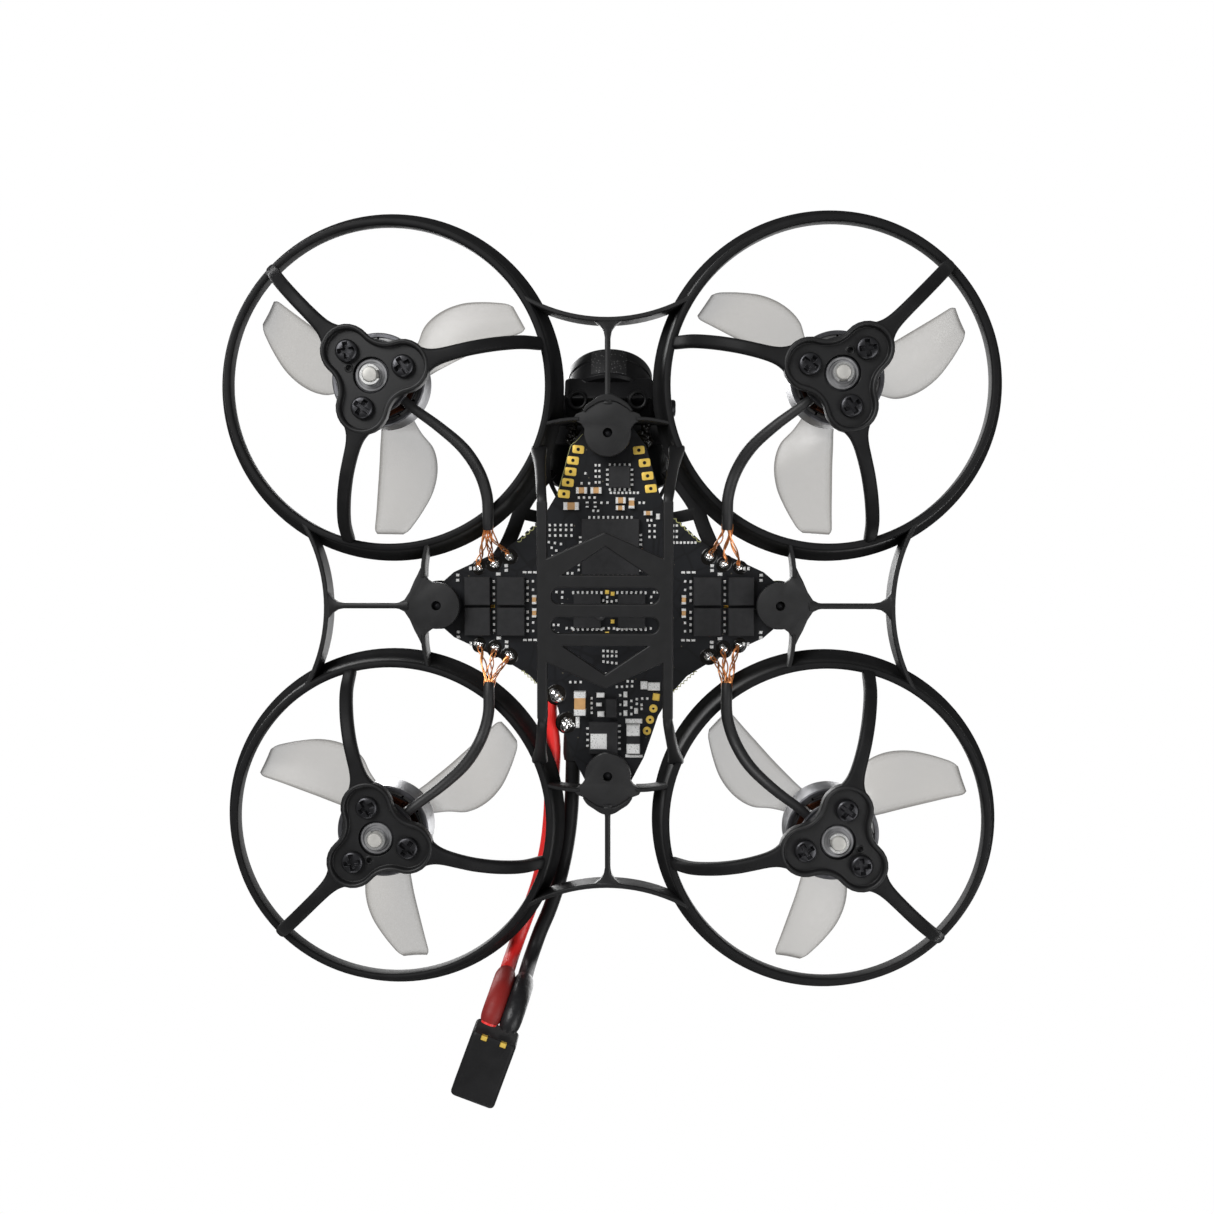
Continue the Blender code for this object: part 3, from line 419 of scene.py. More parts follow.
def runs(points):
    """The direction a line takes at each of its points, not of unit length."""
    points = [Vector(point) for point in points]
    ends = [points[0]] + points + [points[-1]]
    return [after - before for before, after in zip(ends, ends[2:])]


def soft_bar(path, side, widths, thickness, corner, steps):
    """A bar whose underside follows path, with rounded long edges."""
    sections = []
    for point, along, width in zip(path, runs(path), widths):
        out = side.cross(along).normalized()
        out = out if out.z >= 0 else -out
        wide, thick = width / 2, thickness / 2
        nip = min(corner, wide * 0.95, thick * 0.95)
        loop = []
        for quarter, (x, y) in enumerate(((1, 1), (-1, 1), (-1, -1), (1, -1))):
            for step in range(steps + 1):
                turn = pi / 2 * (quarter + step / steps)
                across = x * (wide - nip) + nip * cos(turn)
                rise = y * (thick - nip) + nip * sin(turn)
                loop.append(point + side * across + out * (thick + rise))
        sections.append(loop)
    return loft(sections)


def soft_wall(line, thickness, bottom, tops):
    """A thin upright wall along a plan line, with its own top height at each point."""
    sections = []
    for point, along, top in zip(line, runs(line), tops):
        across = Vector((-along.y, along.x)).normalized() * (thickness / 2)
        loop = []
        for share, height in (
            (1, bottom + 0.12), (1, top - 0.14), (0.7, top - 0.03), (0.25, top), (-0.25, top),
            (-0.7, top - 0.03), (-1, top - 0.14), (-1, bottom + 0.12), (-0.6, bottom), (0.6, bottom),
        ):
            loop.append((*(Vector(point) + across * share), height))
        sections.append(loop)
    return loft(sections)


def tube(points, radius, steps):
    """A round tube along points; radius is one number or one for each point."""
    radii = radius if isinstance(radius, list) else [radius] * len(points)
    sections = []
    side = None
    for point, along, reach in zip(points, runs(points), radii):
        along.normalize()
        if side is None:
            side = along.orthogonal().normalized()
        side = (side - along * side.dot(along)).normalized()
        other = along.cross(side)
        sections.append([Vector(point) + (side * x + other * y) * reach for x, y in circle(1, steps)])
    return loft(sections)


def block(x, y, wide, long, low, high, turn=0, nip=0.08):
    """A small part with chamfered lower edges."""
    sections = []
    for inset, height in ((0, high), (0, low + nip), (nip, low)):
        w, l = wide / 2 - inset, long / 2 - inset
        sections.append([(w, l, height), (-w, l, height), (-w, -l, height), (w, -l, height)])
    return placed(loft(sections), at(x, y) @ about_z(turn))


def dome(x, y, radius, high, drop, stretch=1, turn=0, steps=18):
    """A drop of solder hanging from height high."""
    profile = [(radius * cos(a), high - drop * sin(a)) for a in
               [pi / 2 * index / 6 for index in range(6)]] + [(radius * 0.04, high - drop)]
    shape = spindle([(radius * 1.08, high)] + profile, steps)
    return placed(shape, at(x, y) @ about_z(turn) @ scaled(stretch, 1, 1))


def rod(radius, low, high, steps=24, x=0, y=0):
    """An upright cylinder."""
    return placed(spindle([(radius, low), (radius, high)], steps), at(x, y))


def at(x, y, z=0):
    return Matrix.Translation((x, y, z))


def at_corner(x_side, y_side):
    """Where a rotor's shapes go: its axis, with +X pointing away from the drone's middle."""
    turn = degrees(atan2(y_side, x_side))
    return at(x_side * ROTOR_OFFSET, y_side * ROTOR_OFFSET) @ about_z(turn)


def scaled(x, y, z):
    return Matrix.Diagonal((x, y, z, 1))


def placed(shape, matrix):
    copy = shape.copy()
    bmesh.ops.transform(copy, matrix=matrix, verts=copy.verts)
    if matrix.determinant() < 0:
        bmesh.ops.reverse_faces(copy, faces=copy.faces)
    return copy


def moved(shapes, matrix):
    return [placed(shape, matrix) for shape in shapes]


def about_z(turn):
    return Matrix.Rotation(radians(turn), 4, "Z")


def cut(shape, tools):
    """A shape with tools taken out of it by an exact Boolean."""
    bodies = []
    for source in ([shape], tools):
        mesh = bpy.data.meshes.new("cut")
        joined(source).to_mesh(mesh)
        bodies.append(show("cut", mesh))
    step = bodies[0].modifiers.new("cut", "BOOLEAN")
    step.operation = "DIFFERENCE"
    step.solver = "EXACT"
    step.object = bodies[1]
    graph = bpy.context.evaluated_depsgraph_get()
    made = bmesh.new()
    made.from_mesh(bpy.data.meshes.new_from_object(bodies[0].evaluated_get(graph)))
    for body in bodies:
        bpy.data.objects.remove(body)
    return made


def joined(shapes):
    together = bmesh.new()
    for shape in shapes:
        scrap = bpy.data.meshes.new("scrap")
        shape.to_mesh(scrap)
        together.from_mesh(scrap)
        bpy.data.meshes.remove(scrap)
    return together


def add(name, shapes, look, body="airframe", nodes=(), sharp=38, bevel=0):
    """Make one piece of the drone from shapes, riding on a body and standing for CAD nodes."""
    mesh = bpy.data.meshes.new(name)
    together = joined(shapes)
    bmesh.ops.scale(together, vec=(MM, MM, MM), verts=together.verts)
    together.to_mesh(mesh)
    mesh.materials.append(LOOKS[look])
    mesh.shade_smooth()
    mesh.set_sharp_from_angle(angle=radians(sharp))
    piece = show(name, mesh)
    if bevel:
        soften = piece.modifiers.new("soften", "BEVEL")
        soften.width = bevel * MM
        soften.segments = 3
        soften.limit_method = "ANGLE"
        soften.angle_limit = radians(sharp)
        soften.harden_normals = True
    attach(piece, body)
    if nodes:
        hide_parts(*nodes)
    return piece


# --- Battery leads and plug ---

RED_ROUTE = [
    (-5.7, 8.4, 13.25), (-6.4, 11.4, 13.3), (-6, 15.6, 13.2), (-6.2, 19.8, 13.05),
    (-6.35, 23.2, 13), (-6.75, 26.6, 13), (-7.6, 30.2, 13.05), (-8.5, 32.9, 13.1),
    (-9.35, 35.15, 13.1), (-9.98, 36.85, 12.7), (-10.42, 38.05, 11.35), (-10.55, 38.42, 9.6),
    (-10.57, 38.48, 7.4), (-10.63, 38.62, 5.3), (-10.8, 39.09, 3.5), (-11.2, 40.17, 2.25),
    (-11.73, 41.63, 1.8),
]
BLACK_BESIDE_RED = (1.88, 0.69)
BLACK_ROUTE = [
    (-3.7, 12.2, 13.25), (-3.85, 15.6, 13.2), (-3.95, 19.8, 13.05), (-4.15, 23.2, 13),
    (-4.6, 26.6, 13), (-5.4, 30.2, 13.05), (-6.45, 33.4, 13.1),
] + [(x + BLACK_BESIDE_RED[0], y + BLACK_BESIDE_RED[1], z) for x, y, z in RED_ROUTE[8:]]
LEAD_RADIUS = 0.8
PLUG_BACK = Vector((-10.92, 42.42, 0))
PLUG_DIRECTION = Vector((-0.345, 0.939, 0)).normalized()


def lead(name, route, look):
    """One battery lead as a round curve along its route."""
    line = bpy.data.curves.new(name, "CURVE")
    line.dimensions = "3D"
    line.bevel_depth = LEAD_RADIUS * MM
    line.bevel_resolution = 5
    line.use_fill_caps = True
    points = refine(route, 4)
    spline = line.splines.new("POLY")
    spline.points.add(len(points) - 1)
    for target, point in zip(spline.points, points):
        target.co = (*(Vector(point) * MM), 1)
    spline.use_smooth = True
    line.materials.append(LOOKS[look])
    cord = show(name, line)
    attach(cord, "airframe")
    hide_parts(name)


def plug_pieces():
    """The two-contact plug, in its own directions: x across, y from its back, z up."""
    wide, long, high = 4.6, 6.8, 3.5
    outline = rounded_box(wide / 2, high / 2, 0.45, 4, high / 2)
    ends = ((0, 0.94), (0.12, 0.985), (0.3, 1), (long - 0.3, 1), (long - 0.1, 0.98), (long, 0.94))
    body = loft([
        [(x * share, y, high / 2 + (z - high / 2) * share) for x, z in outline] for y, share in ends
    ])

    def pocket(half, back, front, low, top):
        return prism(rect(x - half, back, x + half, front), low, top)

    tools, contacts = [], []
    for x in (-1, 1):
        tools += [pocket(0.42, 4.4, 7.2, 1.1, 2.4), pocket(0.36, -0.5, 0.55, -0.5, 0.5)]
        contacts += [pocket(0.36, 4.2, 6.3, 1.15, 1.45), pocket(0.31, 0.1, 0.56, 0.1, 0.52)]
    side = PLUG_DIRECTION.cross(Z_AXIS)
    turn = Matrix((side, PLUG_DIRECTION, (0, 0, 1))).transposed().to_4x4()
    turn = Matrix.Translation(PLUG_BACK) @ turn
    body = placed(cut(body, tools), turn)
    shell = add("plug_shell", [body], "plug", nodes=["power_plug"])
    pins = add("plug_contacts", moved(contacts, turn), "gold")
    return [shell, pins]


def make_leads():
    plug_parts = plug_pieces()
    for name, route, look, start, end in (
        ("red_plug", RED_ROUTE, "red_shrink", -24, -1), ("black_plug", BLACK_ROUTE, "shrink", -24, -1),
        ("black_board", BLACK_ROUTE, "shrink", 1, 9),
    ):
        stretch = refine(route, 6)[start:end]
        last = len(stretch) - 1
        radii = [
            LEAD_RADIUS + 0.3 - 0.14 * (abs(2 * index / last - 1) ** 8) for index in range(last + 1)
        ]
        add(f"sleeve_{name}", [tube(stretch, radii, 20)], look)
    lead("power_lead_red", RED_ROUTE, "red")
    lead("power_lead_black", BLACK_ROUTE, "black")


# --- Frame ---

LOBE_RADIUS, WAIST_RADIUS, SCREW_CIRCLE = 2.6, 3.38, 3.3
SCREW_TWIST = 37
DIMPLE_REACH, DIMPLE_TURN = 2.3, -27
WALL_TOP, WALL_LOW, WALL_SLOPE, DUCT_INSIDE = 11.7, 10.2, 1.1, 16.8
BRIDGE_RADIUS, BRIDGE_MIDDLE, BRIDGE_HALF_TURN = 17.6, 29.65, 30.4
ARM_LINE = [
    (5.4, 1.6, 2.8), (5.9, 1.6, 2.2), (6.5, 1.6, 1.75), (7.4, 1.6, 1.48), (8.8, 1.65, 1.38),
    (10.6, 2.05, 1.36), (12.9, 3.4, 1.36), (15.2, 5.8, 1.36), (16.95, 9.15, 1.36),
]
CORNER_ARM_END = [
    (16.3, 7.6, 1.36), (16.85, 8.45, 1.36), (17.2, 8.9, 1.3), (17.42, 9.3, 1.1), (17.5, 9.7, 0.6),
]
DUCT_SECTION = [
    (16.62, 9.03), (16.5, 9.12), (16.45, 9.3), (16.46, 10), (16.52, 10.6), (16.7, 11.1), (17.05, 11.5),
    (17.5, 11.8), (17.95, 11.97), (18.15, 12), (18.28, 11.93), (18.3, 11.8), (18.22, 11.66),
    (17.9, 11.44), (17.62, 11.12), (17.45, 10.7), (17.36, 10.2), (17.28, 9.6), (17.2, 9.2),
    (17.08, 9.05), (16.85, 9),
]
LEG_LINE = [
    (6.1, 9.8, 0.06, 0.9), (6.1, 10.9, 0.1, 0.95), (6.25, 12, 1.15, 1), (6.5, 13.4, 3.5, 1.05),
    (6.85, 15.1, 6.6, 1.2), (7.15, 16.35, 8.8, 1.6), (7.2, 16.75, 9.7, 1.7),
]


def mount_outline(inset, lobe=LOBE_RADIUS, waist=WAIST_RADIUS):
    """Three round lobes about the screws with hollow waists between them, moved in by inset."""
    reach = SCREW_CIRCLE
    hollow = (lobe ** 2 - reach ** 2 - waist ** 2 + reach * waist) / (2 * waist - reach - 2 * lobe)
    far = waist + hollow
    meeting = degrees(atan2(far * sin(pi / 3), far * cos(pi / 3) - reach))
    points = []
    for turn in THIRDS:
        spin = radians(turn)
        centre = (reach * cos(spin), reach * sin(spin))
        points += arc(centre, lobe - inset, turn - meeting, turn + meeting, 14)
        spin += pi / 3
        centre = (far * cos(spin), far * sin(spin))
        points += arc(centre, hollow + inset, turn + meeting + 180, turn + 300 - meeting, 8)[1:-1]
    return points


def corner_shapes():
    """A motor mount, then its arms; the arm towards the corner, +X, wraps over the duct's edge."""
    levels = [
        (0.12, 2.7), (0, 2.58), (0, 1.72), (0.05, 1.6), (0.14, 1.52), (0.24, 1.5), (0.34, 1.52),
        (0.43, 1.6), (0.48, 1.72), (0.5, 2.02), (0.56, 2.1),
    ]
    mount = loft([[(x, y, height) for x, y in mount_outline(inset)] for inset, height in levels])
    x, y = arc((0, 0), DIMPLE_REACH, DIMPLE_TURN, DIMPLE_TURN, 1)[0]
    mount = cut(cut(mount, [rod(1.78, 1, 3.2, 48)]), [rod(0.29, 1.5, 2.45, 20, x, y)])
    lip = turned_ring([(0.29, 2.15), (0.29, 2.04), (0.34, 2.01), (0.4, 2.03), (0.43, 2.15)], 24)
    lip, arms = placed(lip, at(x, y)), []
    for turn in THIRDS:
        line = refine(ARM_LINE if turn else ARM_LINE[:-1] + CORNER_ARM_END, 6)
        path = [Vector((radius, 0, height)) for radius, height, _ in line]
        arm = soft_bar(path, Y_AXIS, [width for *_, width in line], 1, 0.42, 5)
        arms.append(placed(arm, about_z(turn)))
    return [mount, lip], arms


def top_below_duct(point):
    """How high a wall rises at a plan point: less towards the open middle of a duct."""
    reach = min(dist(point, (ROTOR_OFFSET, side * ROTOR_OFFSET)) for side in (-1, 1))
    return min(WALL_TOP, WALL_LOW + WALL_SLOPE * (reach - DUCT_INSIDE))


def side_shapes(split):
    """One side of the frame, facing +X: bridge, spoke, pad and the webs that hold the pad.

    A split side's spoke ends in two arms round a rounder pad; the others run flat into it.
    """
    centre = BRIDGE_MIDDLE + BRIDGE_RADIUS
    angles = [radians(BRIDGE_HALF_TURN) * (index / 12 - 1) for index in range(25)]
    bridge = [
        (centre - BRIDGE_RADIUS * cos(turn), BRIDGE_RADIUS * sin(turn)) for turn in angles
    ]
    shapes = [soft_wall(bridge, 0.5, 9.03, [top_below_duct(point) for point in bridge])]
    half = [(21, 0.5), (21.6, 0.4), (22.3, 0.29), (27.8, 0.29), (28.5, 0.42), (29, 0.75), (29.5, 1.4)]
    section = ((1, 9.2), (0.6, 9.1), (-0.6, 9.1), (-1, 9.2))
    section += tuple((share, 19.05 - height) for share, height in reversed(section))
    shapes.append(loft([[(x, y * share, height) for share, height in section] for x, y in half]))
    if split:
        reach = 2.5
        arms = [(20.25, reach), (20.75, 2.05), (21.3, 1.2), (21.6, 0.55), (21.65, 0)]
        arms = refine(mirrored(arms), 4)
        path = [Vector((x, y, 9.02)) for x, y in arms]
        sections = []
        for point, along in zip(path, runs(path)):
            across = Vector((along.y, -along.x, 0)).normalized()
            off = abs(point.y)
            across *= 0.14 + 0.12 * min(1, (reach - off) / 0.6) + 0.18 * max(0, 1 - off / 1.3)
            sections.append([
                point + across * share + Vector((0, 0, rise)) for share, rise in
                ((1, 0.12), (0.7, 0), (-0.7, 0), (-1, 0.12), (-1, 0.75), (1, 0.75))
            ])
        shapes.append(loft(sections))
        half = [(21.3, 0), (21.2, 0.9), (20.8, 1.8), (20.3, 2.4), (19.95, 3.3), (19.6, 3.5)]
        half += [(19.2, 3.2), (18.95, 2.75)]
    else:
        half = [(22, 0), (21.95, 0.35), (21.4, 0.62), (20.85, 1.45), (20.35, 2.6), (19.95, 3.35)]
        half += [(19.65, 4), (19.3, 4), (19.3, 3.35), (18.95, 2.75)]
    half += arc((PAD_REACH, 0), 2.45, 80, 180, 12)
    pad = rounded_prism(half[1:] + [(x, -y) for x, y in reversed(half[:-1])], 9.2, 10.2, 0.07)
    for side in (-1, 1):
        web = [(19.45, 3 * side), (19.4, 4.2 * side), (19.2, 5.5 * side), (18.95, 6.6 * side)]
        web = refine(web, 3)
        shapes.append(soft_wall(web, 0.42, 9.1, [top_below_duct(point) for point in web]))
    return shapes, cut(pad, [rod(0.5, 9, 10.4, 24, PAD_REACH)])


def tray_shapes():
    """The battery tray with its slots, windows and legs."""
    quarter = [(6.6, 10.6), (5.6, 10.6), (5.6, 5.1)]
    outline = quarter + [(0, 7.6)] + [(-x, y) for x, y in reversed(quarter)]
    outline += [(-x, -y) for x, y in outline]
    tools = []
    for side in (-1, 1):
        middle, radius = 1.425, 0.775
        ends = arc((5.2 - radius, middle * side), radius, -90, 90, 12)
        ends += arc((radius - 5.2, middle * side), radius, 90, 270, 12)
        tools.append(prism(ends, -0.5, 1.5))
        corners = [(4.1, 3.45), (0, 6.2), (-4.1, 3.45)]
        tools.append(prism([(x, y * side) for x, y in corners], -0.5, 1.5))
    plate = cut(prism(outline, 0, 1), tools)
    gate = spindle([(0.14, 0.5), (0.14, 0.07), (0.2, 0.03), (0.5, 0.03), (0.55, 0.07), (0.55, 0.5)], 28)
    legs = [placed(gate, at(-0.5, 0.45))]
    for x_side, y_side in CORNERS.values():
        line = refine(LEG_LINE, 5)
        path = [Vector((x * x_side, y * y_side, z)) for x, y, z, _ in line]
        legs.append(soft_bar(path, X_AXIS, [width for *_, width in line], 0.9, 0.3, 4))
    return [plate], legs


def make_frame():
    mount, arms = corner_shapes()
    corner, duct, ducts = joined(mount), joined([turned_ring(DUCT_SECTION, 144)] + arms), []
    plate, shapes = tray_shapes()
    pads = []
    for side, turn in SIDES.items():
        walls, pad = side_shapes(side in ("front", "rear"))
        shapes += moved(walls, about_z(turn))
        pads.append(placed(pad, about_z(turn)))
    for sides in CORNERS.values():
        shapes.append(placed(corner, at_corner(*sides)))
        ducts.append(placed(duct, at_corner(*sides)))
    add("frame_ducts", ducts, "duct")
    add("frame_tray", plate, "frame", bevel=0.16)
    add("frame_shell", shapes, "frame", nodes=["frame"])
    add("frame_pads", pads, "pad")


# --- Motors and propellers ---

BLADE_SECTIONS = [
    (1.6, -1.1, 1.3, 30, 0.9), (4.4, -0.95, 2.9, 25, 0.8), (6.2, -1, 4.3, 22, 0.75),
    (8.4, -1.1, 4.75, 19, 0.7), (10.8, -1.3, 4.35, 15, 0.6), (13.1, -1.5, 3.2, 12, 0.5),
    (15.45, -1.75, 1.6, 10, 0.4),
]
PROP_PLANE = 11.75
# Start radius and length of the blades' tapered tip, of the darker tip (painted shade) and of the
# darker root.
TIP_TAPER, PAINTED_SHADE_TIP, DARK_ROOT = (14.6, 0.85), (15.1, 0.35), (2.4, 2.2)
WIRE_RADIUS, COIL_MIDDLE, COIL_HALF, COIL_SQUARENESS = 0.135, 6.55, 1.45, 0.55
PROP_REST = {
    "front_right": (91, 1), "front_left": (94, -1), "rear_right": (83.2, -1), "rear_left": (102.9, 1),
}


def blade_shape(turning):
    """One blade along +X, with a rim mask kept on each point: painted shade near the blade's outline
    and tip, and a darker root.
    """
    shares = [0, 0.02, 0.06, 0.14, 0.27, 0.42, 0.58, 0.73, 0.86, 0.94, 0.98, 1]
    loop_shares = [(share, 1) for share in shares] + [(share, -1) for share in reversed(shares[1:-1])]
    stations = refine(BLADE_SECTIONS, 8)
    sections = []
    for radius, straight, curved, pitch, thick in stations:
        lean = tan(radians(pitch))
        near_tip = max(0, (radius - TIP_TAPER[0]) / TIP_TAPER[1])
        straight, curved = straight + 0.3 * near_tip ** 3, curved - 0.35 * near_tip ** 3
        loop = []
        for share, face in loop_shares:
            across = straight + (curved - straight) * share
            body = max(0, 1 - abs(2 * share - 1.2) ** 2.2 / (1.25 if share < 0.6 else 0.65))
            lift = face * (0.08 + 0.42 * min(1, body)) * thick * (0 if share in (0, 1) else 1)
            height = PROP_PLANE + lean * (across - (straight + curved) / 2) + lift
            loop.append((radius, -across * turning, height + 0.3 * sin(pi * share)))
        sections.append(loop)
    shape = loft(sections)
    rim = shape.verts.layers.float.new("rim")
    shape.verts.ensure_lookup_table()
    for index, vert in enumerate(shape.verts):
        share, radius = loop_shares[index % len(loop_shares)][0], vert.co.x
        # painted shade towards the outline and tip of the clear blade, and darkening towards the root
        edge = max(0, 1 - min(share, 1 - share) / 0.07)
        tip = max(0, (radius - PAINTED_SHADE_TIP[0]) / PAINTED_SHADE_TIP[1])
        root = max(0, 1 - (radius - DARK_ROOT[0]) / DARK_ROOT[1])
        vert[rim] = min(1, max(edge * 0.8, tip, root * 0.8))
    return shape


def hub_shape():
    """The propeller's hub: two rims and a web between, with a bore for the shaft."""
    return turned_ring([
        (0.8, 10), (1.35, 10), (1.45, 10.15), (1.9, 10.15), (2, 10.02), (2.2, 10), (2.3, 10.12),
        (2.3, 12.6), (2.18, 12.85), (1.85, 13.05), (1.5, 13.1), (1.4, 13.2), (0.95, 13.2), (0.8, 13.1),
    ], 64)


def screw_shape(low=1.5, seat=2.05):
    """A pan-head screw with a cross recess, head down at height low."""
    deep = seat - low
    head = spindle([
        (0.04, low), (0.6, low + 0.005), (0.9, low + 0.05 * deep), (1.05, low + 0.2 * deep),
        (1.12, low + 0.45 * deep), (1.12, low + 0.75 * deep), (1.12, seat), (0.7, seat), (0.7, 3.5),
    ], 40)
    for turn in (0, 90):
        rows = [
            [(long, wide, height), (-long, wide, height), (-long, -wide, height), (long, -wide, height)]
            for long, wide, height in ((0.92, 0.27, low - 0.08), (0.6, 0.17, low + 0.42))
        ]
        head = cut(head, [placed(loft(rows), about_z(turn))])
    return head


def winding_shapes():
    """Nine wound teeth round the bearing tube."""
    def squared(value):
        return copysign(abs(value) ** COIL_SQUARENESS, value)

    coils, teeth = [], []
    for tooth in range(9):
        turn = about_z(40 * tooth)
        for layer in range(6):
            radius, wide = 2.45 + 0.24 * layer, 0.5 + 0.13 * layer
            loop = [
                Vector((radius, wide * squared(y), COIL_MIDDLE + COIL_HALF * squared(z)))
                for y, z in circle(1, 20)
            ]
            sections = []
            for step, point in enumerate(loop):
                along = (loop[(step + 1) % 20] - loop[step - 1]).normalized()
                across = along.cross(X_AXIS)
                sections.append([
                    point + (X_AXIS * x + across * y) * WIRE_RADIUS for x, y in circle(1, 6)
                ])
            coils.append(placed(loft(sections, ring=True), turn))
        tip = turned_ring(rect(3.72, 5.35, 3.9, 7.75), 8, -15, 30)
        stem = prism(rect(2, -0.35, 3.75, 0.35), 5.6, 7.5)
        teeth += moved((tip, stem), turn)
    teeth.append(turned_ring(rect(2.02, 5.3, 2.3, 7.8), 48))
    return coils, teeth


def can_shape():
    """The rotor's cup, with openings between its spokes and a rolled edge round its top."""
    wall = turned_ring([
        (4.25, 5.2), (4.6, 5.2), (4.7, 5.3), (4.7, 8.9), (4.62, 9.15), (4.4, 9.35), (4.2, 9.4),
        (3.85, 9.4), (3.85, 8.75), (4.25, 8.65),
    ], 96)
    boss = turned_ring([
        (0.79, 8.65), (1.9, 8.75), (1.9, 9.4), (1.55, 9.45), (1.5, 9.9), (0.79, 9.9),
    ], 64)
    spoke = rounded_prism([(1.7, -0.5), (4.1, -0.75), (4.1, 0.75), (1.7, 0.5)], 8.75, 9.38, 0.12)
    return [wall, boss] + [placed(spoke, about_z(turn)) for turn in range(0, 360, 40)]


def make_motors():
    coils, teeth = winding_shapes()
    can = can_shape()
    magnet = turned_ring(rect(3.98, 5.35, 4.25, 8.6), 6, -13.5, 27)
    magnets = [placed(magnet, about_z(turn)) for turn in range(0, 360, 30)]
    plate = loft([
        [(x, y, height) for x, y in mount_outline(inset, 1.75, 3.3)]
        for inset, height in ((0.1, 2.75), (0, 2.85), (0, 3.3), (0.1, 3.4))
    ])
    plate = cut(plate, [rod(1.5, 2, 4, 40)])
    disc = turned_ring([(1.9, 2.95), (3.62, 2.95), (3.7, 3.03), (3.7, 3.4), (1.9, 3.4)], 64)
    post = turned_ring([
        (1.58, 2.4), (1.7, 2.4), (1.74, 2.45), (1.74, 2.9), (1.95, 3.3), (1.95, 8.3), (1.58, 8.3),
    ], 48)
    race = [(1.3, 2.3), (1.33, 2.24), (1.52, 2.24), (1.57, 2.3), (1.57, 3.4), (1.3, 3.4)]
    race = turned_ring(race, 48)
    race_in = turned_ring([(0.76, 2.3), (0.8, 2.24), (0.97, 2.24), (1, 2.3), (1, 3.4), (0.76, 3.4)], 48)
    shield = turned_ring([(0.98, 2.34), (1.12, 2.29), (1.32, 2.33), (1.32, 2.8), (0.98, 2.8)], 48)
    axle = spindle([
        (0.03, 1.32), (0.5, 1.3), (0.66, 1.34), (0.74, 1.45), (0.74, 13.7), (0.6, 13.88), (0.05, 13.9),
    ], 40)
    clip = arc((0, 0), 1, 160, 470, 40) + arc((0, 0), 0.77, 465, 165, 40)
    clip = prism(clip, 1.52, 1.8)
    screw = screw_shape()
    for corner, sides in CORNERS.items():
        face = at_corner(*sides)
        spot = Matrix.Translation(face.translation)
        rotor = f"rotor_{corner}"
        rest, turning = PROP_REST[corner]
        blades = [placed(blade_shape(turning), about_z(rest + turn)) for turn in THIRDS]
        for name, shapes, look, body, node_name, slot in (
            ("base_plate", [plate, disc, post], "base", "airframe", "motor_base", "motor_base"),
            ("bearing", [race, race_in], "race", "airframe", None, "steel"),
            ("bearing_shield", [shield], "race", "airframe", None, "steel"),
            ("windings", coils, "copper", "airframe", "stator", "copper"),
            ("stator_steel", teeth, "base", "airframe", None, None),
            ("can", can, "can", rotor, "motor_bell", "motor_bell"),
            ("magnets", magnets, "magnet", rotor, None, None),
            ("axle", [axle], "steel", rotor, "motor_shaft", "steel"),
            ("clip", [clip], "clip", rotor, "shaft_clip", "steel"),
            ("blades", blades + [hub_shape()], "prop", rotor, "propeller", "propeller"),
        ):
            move = spot if name == "blades" else face
            shapes = moved(shapes, move)
            nodes = [f"{node_name}_{corner}"] if node_name else []
            add(f"{name}_{corner}", shapes, look, body, nodes)
        for number, turn in enumerate(THIRDS, start=1):
            where = face @ about_z(turn) @ at(SCREW_CIRCLE, 0)
            where @= about_z(SCREW_TWIST * number)
            add(
                f"screw_{corner}_{number}", [placed(screw, where)], "screw",
                nodes=[f"motor_screw_{corner}_{number}"],
            )


# --- Flight controller ---

BOARD_EDGE = [
    (4, -16.85), (5.45, -11.8), (6.7, -9.7), (9.7, -6.9), (11, -6), (13.7, -4.8), (15.5, -4.1),
    (15.5, 4.1), (13.7, 4.8), (11, 6), (8.4, 7.6), (6.9, 9.3), (5.35, 11.85), (4.6, 14.1),
    (3.8, 16.4),
]
BOARD_BOTTOM, BOARD_TOP = 11.5, 12.3
DRILL = (11, 12.8)
MOTOR_PADS = ((13.9, 4.1, 0.45), (12.24, 4.5, 0.52), (10.66, 5.3, 0.55))
SCALLOPS, SCALLOP_DEPTH = 7, 0.2
UNDER = BOARD_BOTTOM + 0.02
BOARD_LOOKS = {
    "chips": "epoxy", "solder": "solder", "gold": "gold", "capacitors": "tan", "flux": "flux",
    "beads": "blob", "edge": "laminate",
}
ON_BOARD = {kind: [] for kind in BOARD_LOOKS}
ANTENNA_ROW = [(5.05, 9.67), (4.75, 10.9), (4.4, 12.1), (4.07, 13.3)]


def board_outline():
    """The board's edge, the same on both sides."""
    front = arc((0, -PAD_REACH), 2.6, 205, 335, 24)
    side = arc((PAD_REACH, 0), 2.6, -100, 100, 30)
    right = BOARD_EDGE[:6] + [(16.5, -3.5)] + side + [(16.5, 3.5)] + BOARD_EDGE[8:]
    rear = arc((0, PAD_REACH), 2.6, 25, 155, 24)
    return front + right + rear + [(-x, y) for x, y in reversed(right)]


def fit(kind, x, y, wide, long, high, turn=0, nip=0.08):
    """Put a small part on the board's underside."""
    ON_BOARD[kind].append(block(x, y, wide, long, UNDER - high, UNDER, turn, nip))


def drip(kind, x, y, radius, drop, *shape):
    """Put a drop on the board's underside."""
    ON_BOARD[kind].append(dome(x, y, radius, UNDER, drop, *shape))


def two_ended(kind, x, y, wide, long, high, turn=0):
    """A chip part with a metal cap on each end of its length."""
    fit(kind, x, y, wide * 0.94, long * 0.56, high + 0.02, turn, 0.03)
    spin = radians(turn)
    for reach in (-long * 0.37, long * 0.37):
        place = (x - sin(spin) * reach, y + cos(spin) * reach)
        fit("solder", *place, wide, long * 0.28, high + 0.04, turn, 0.05)


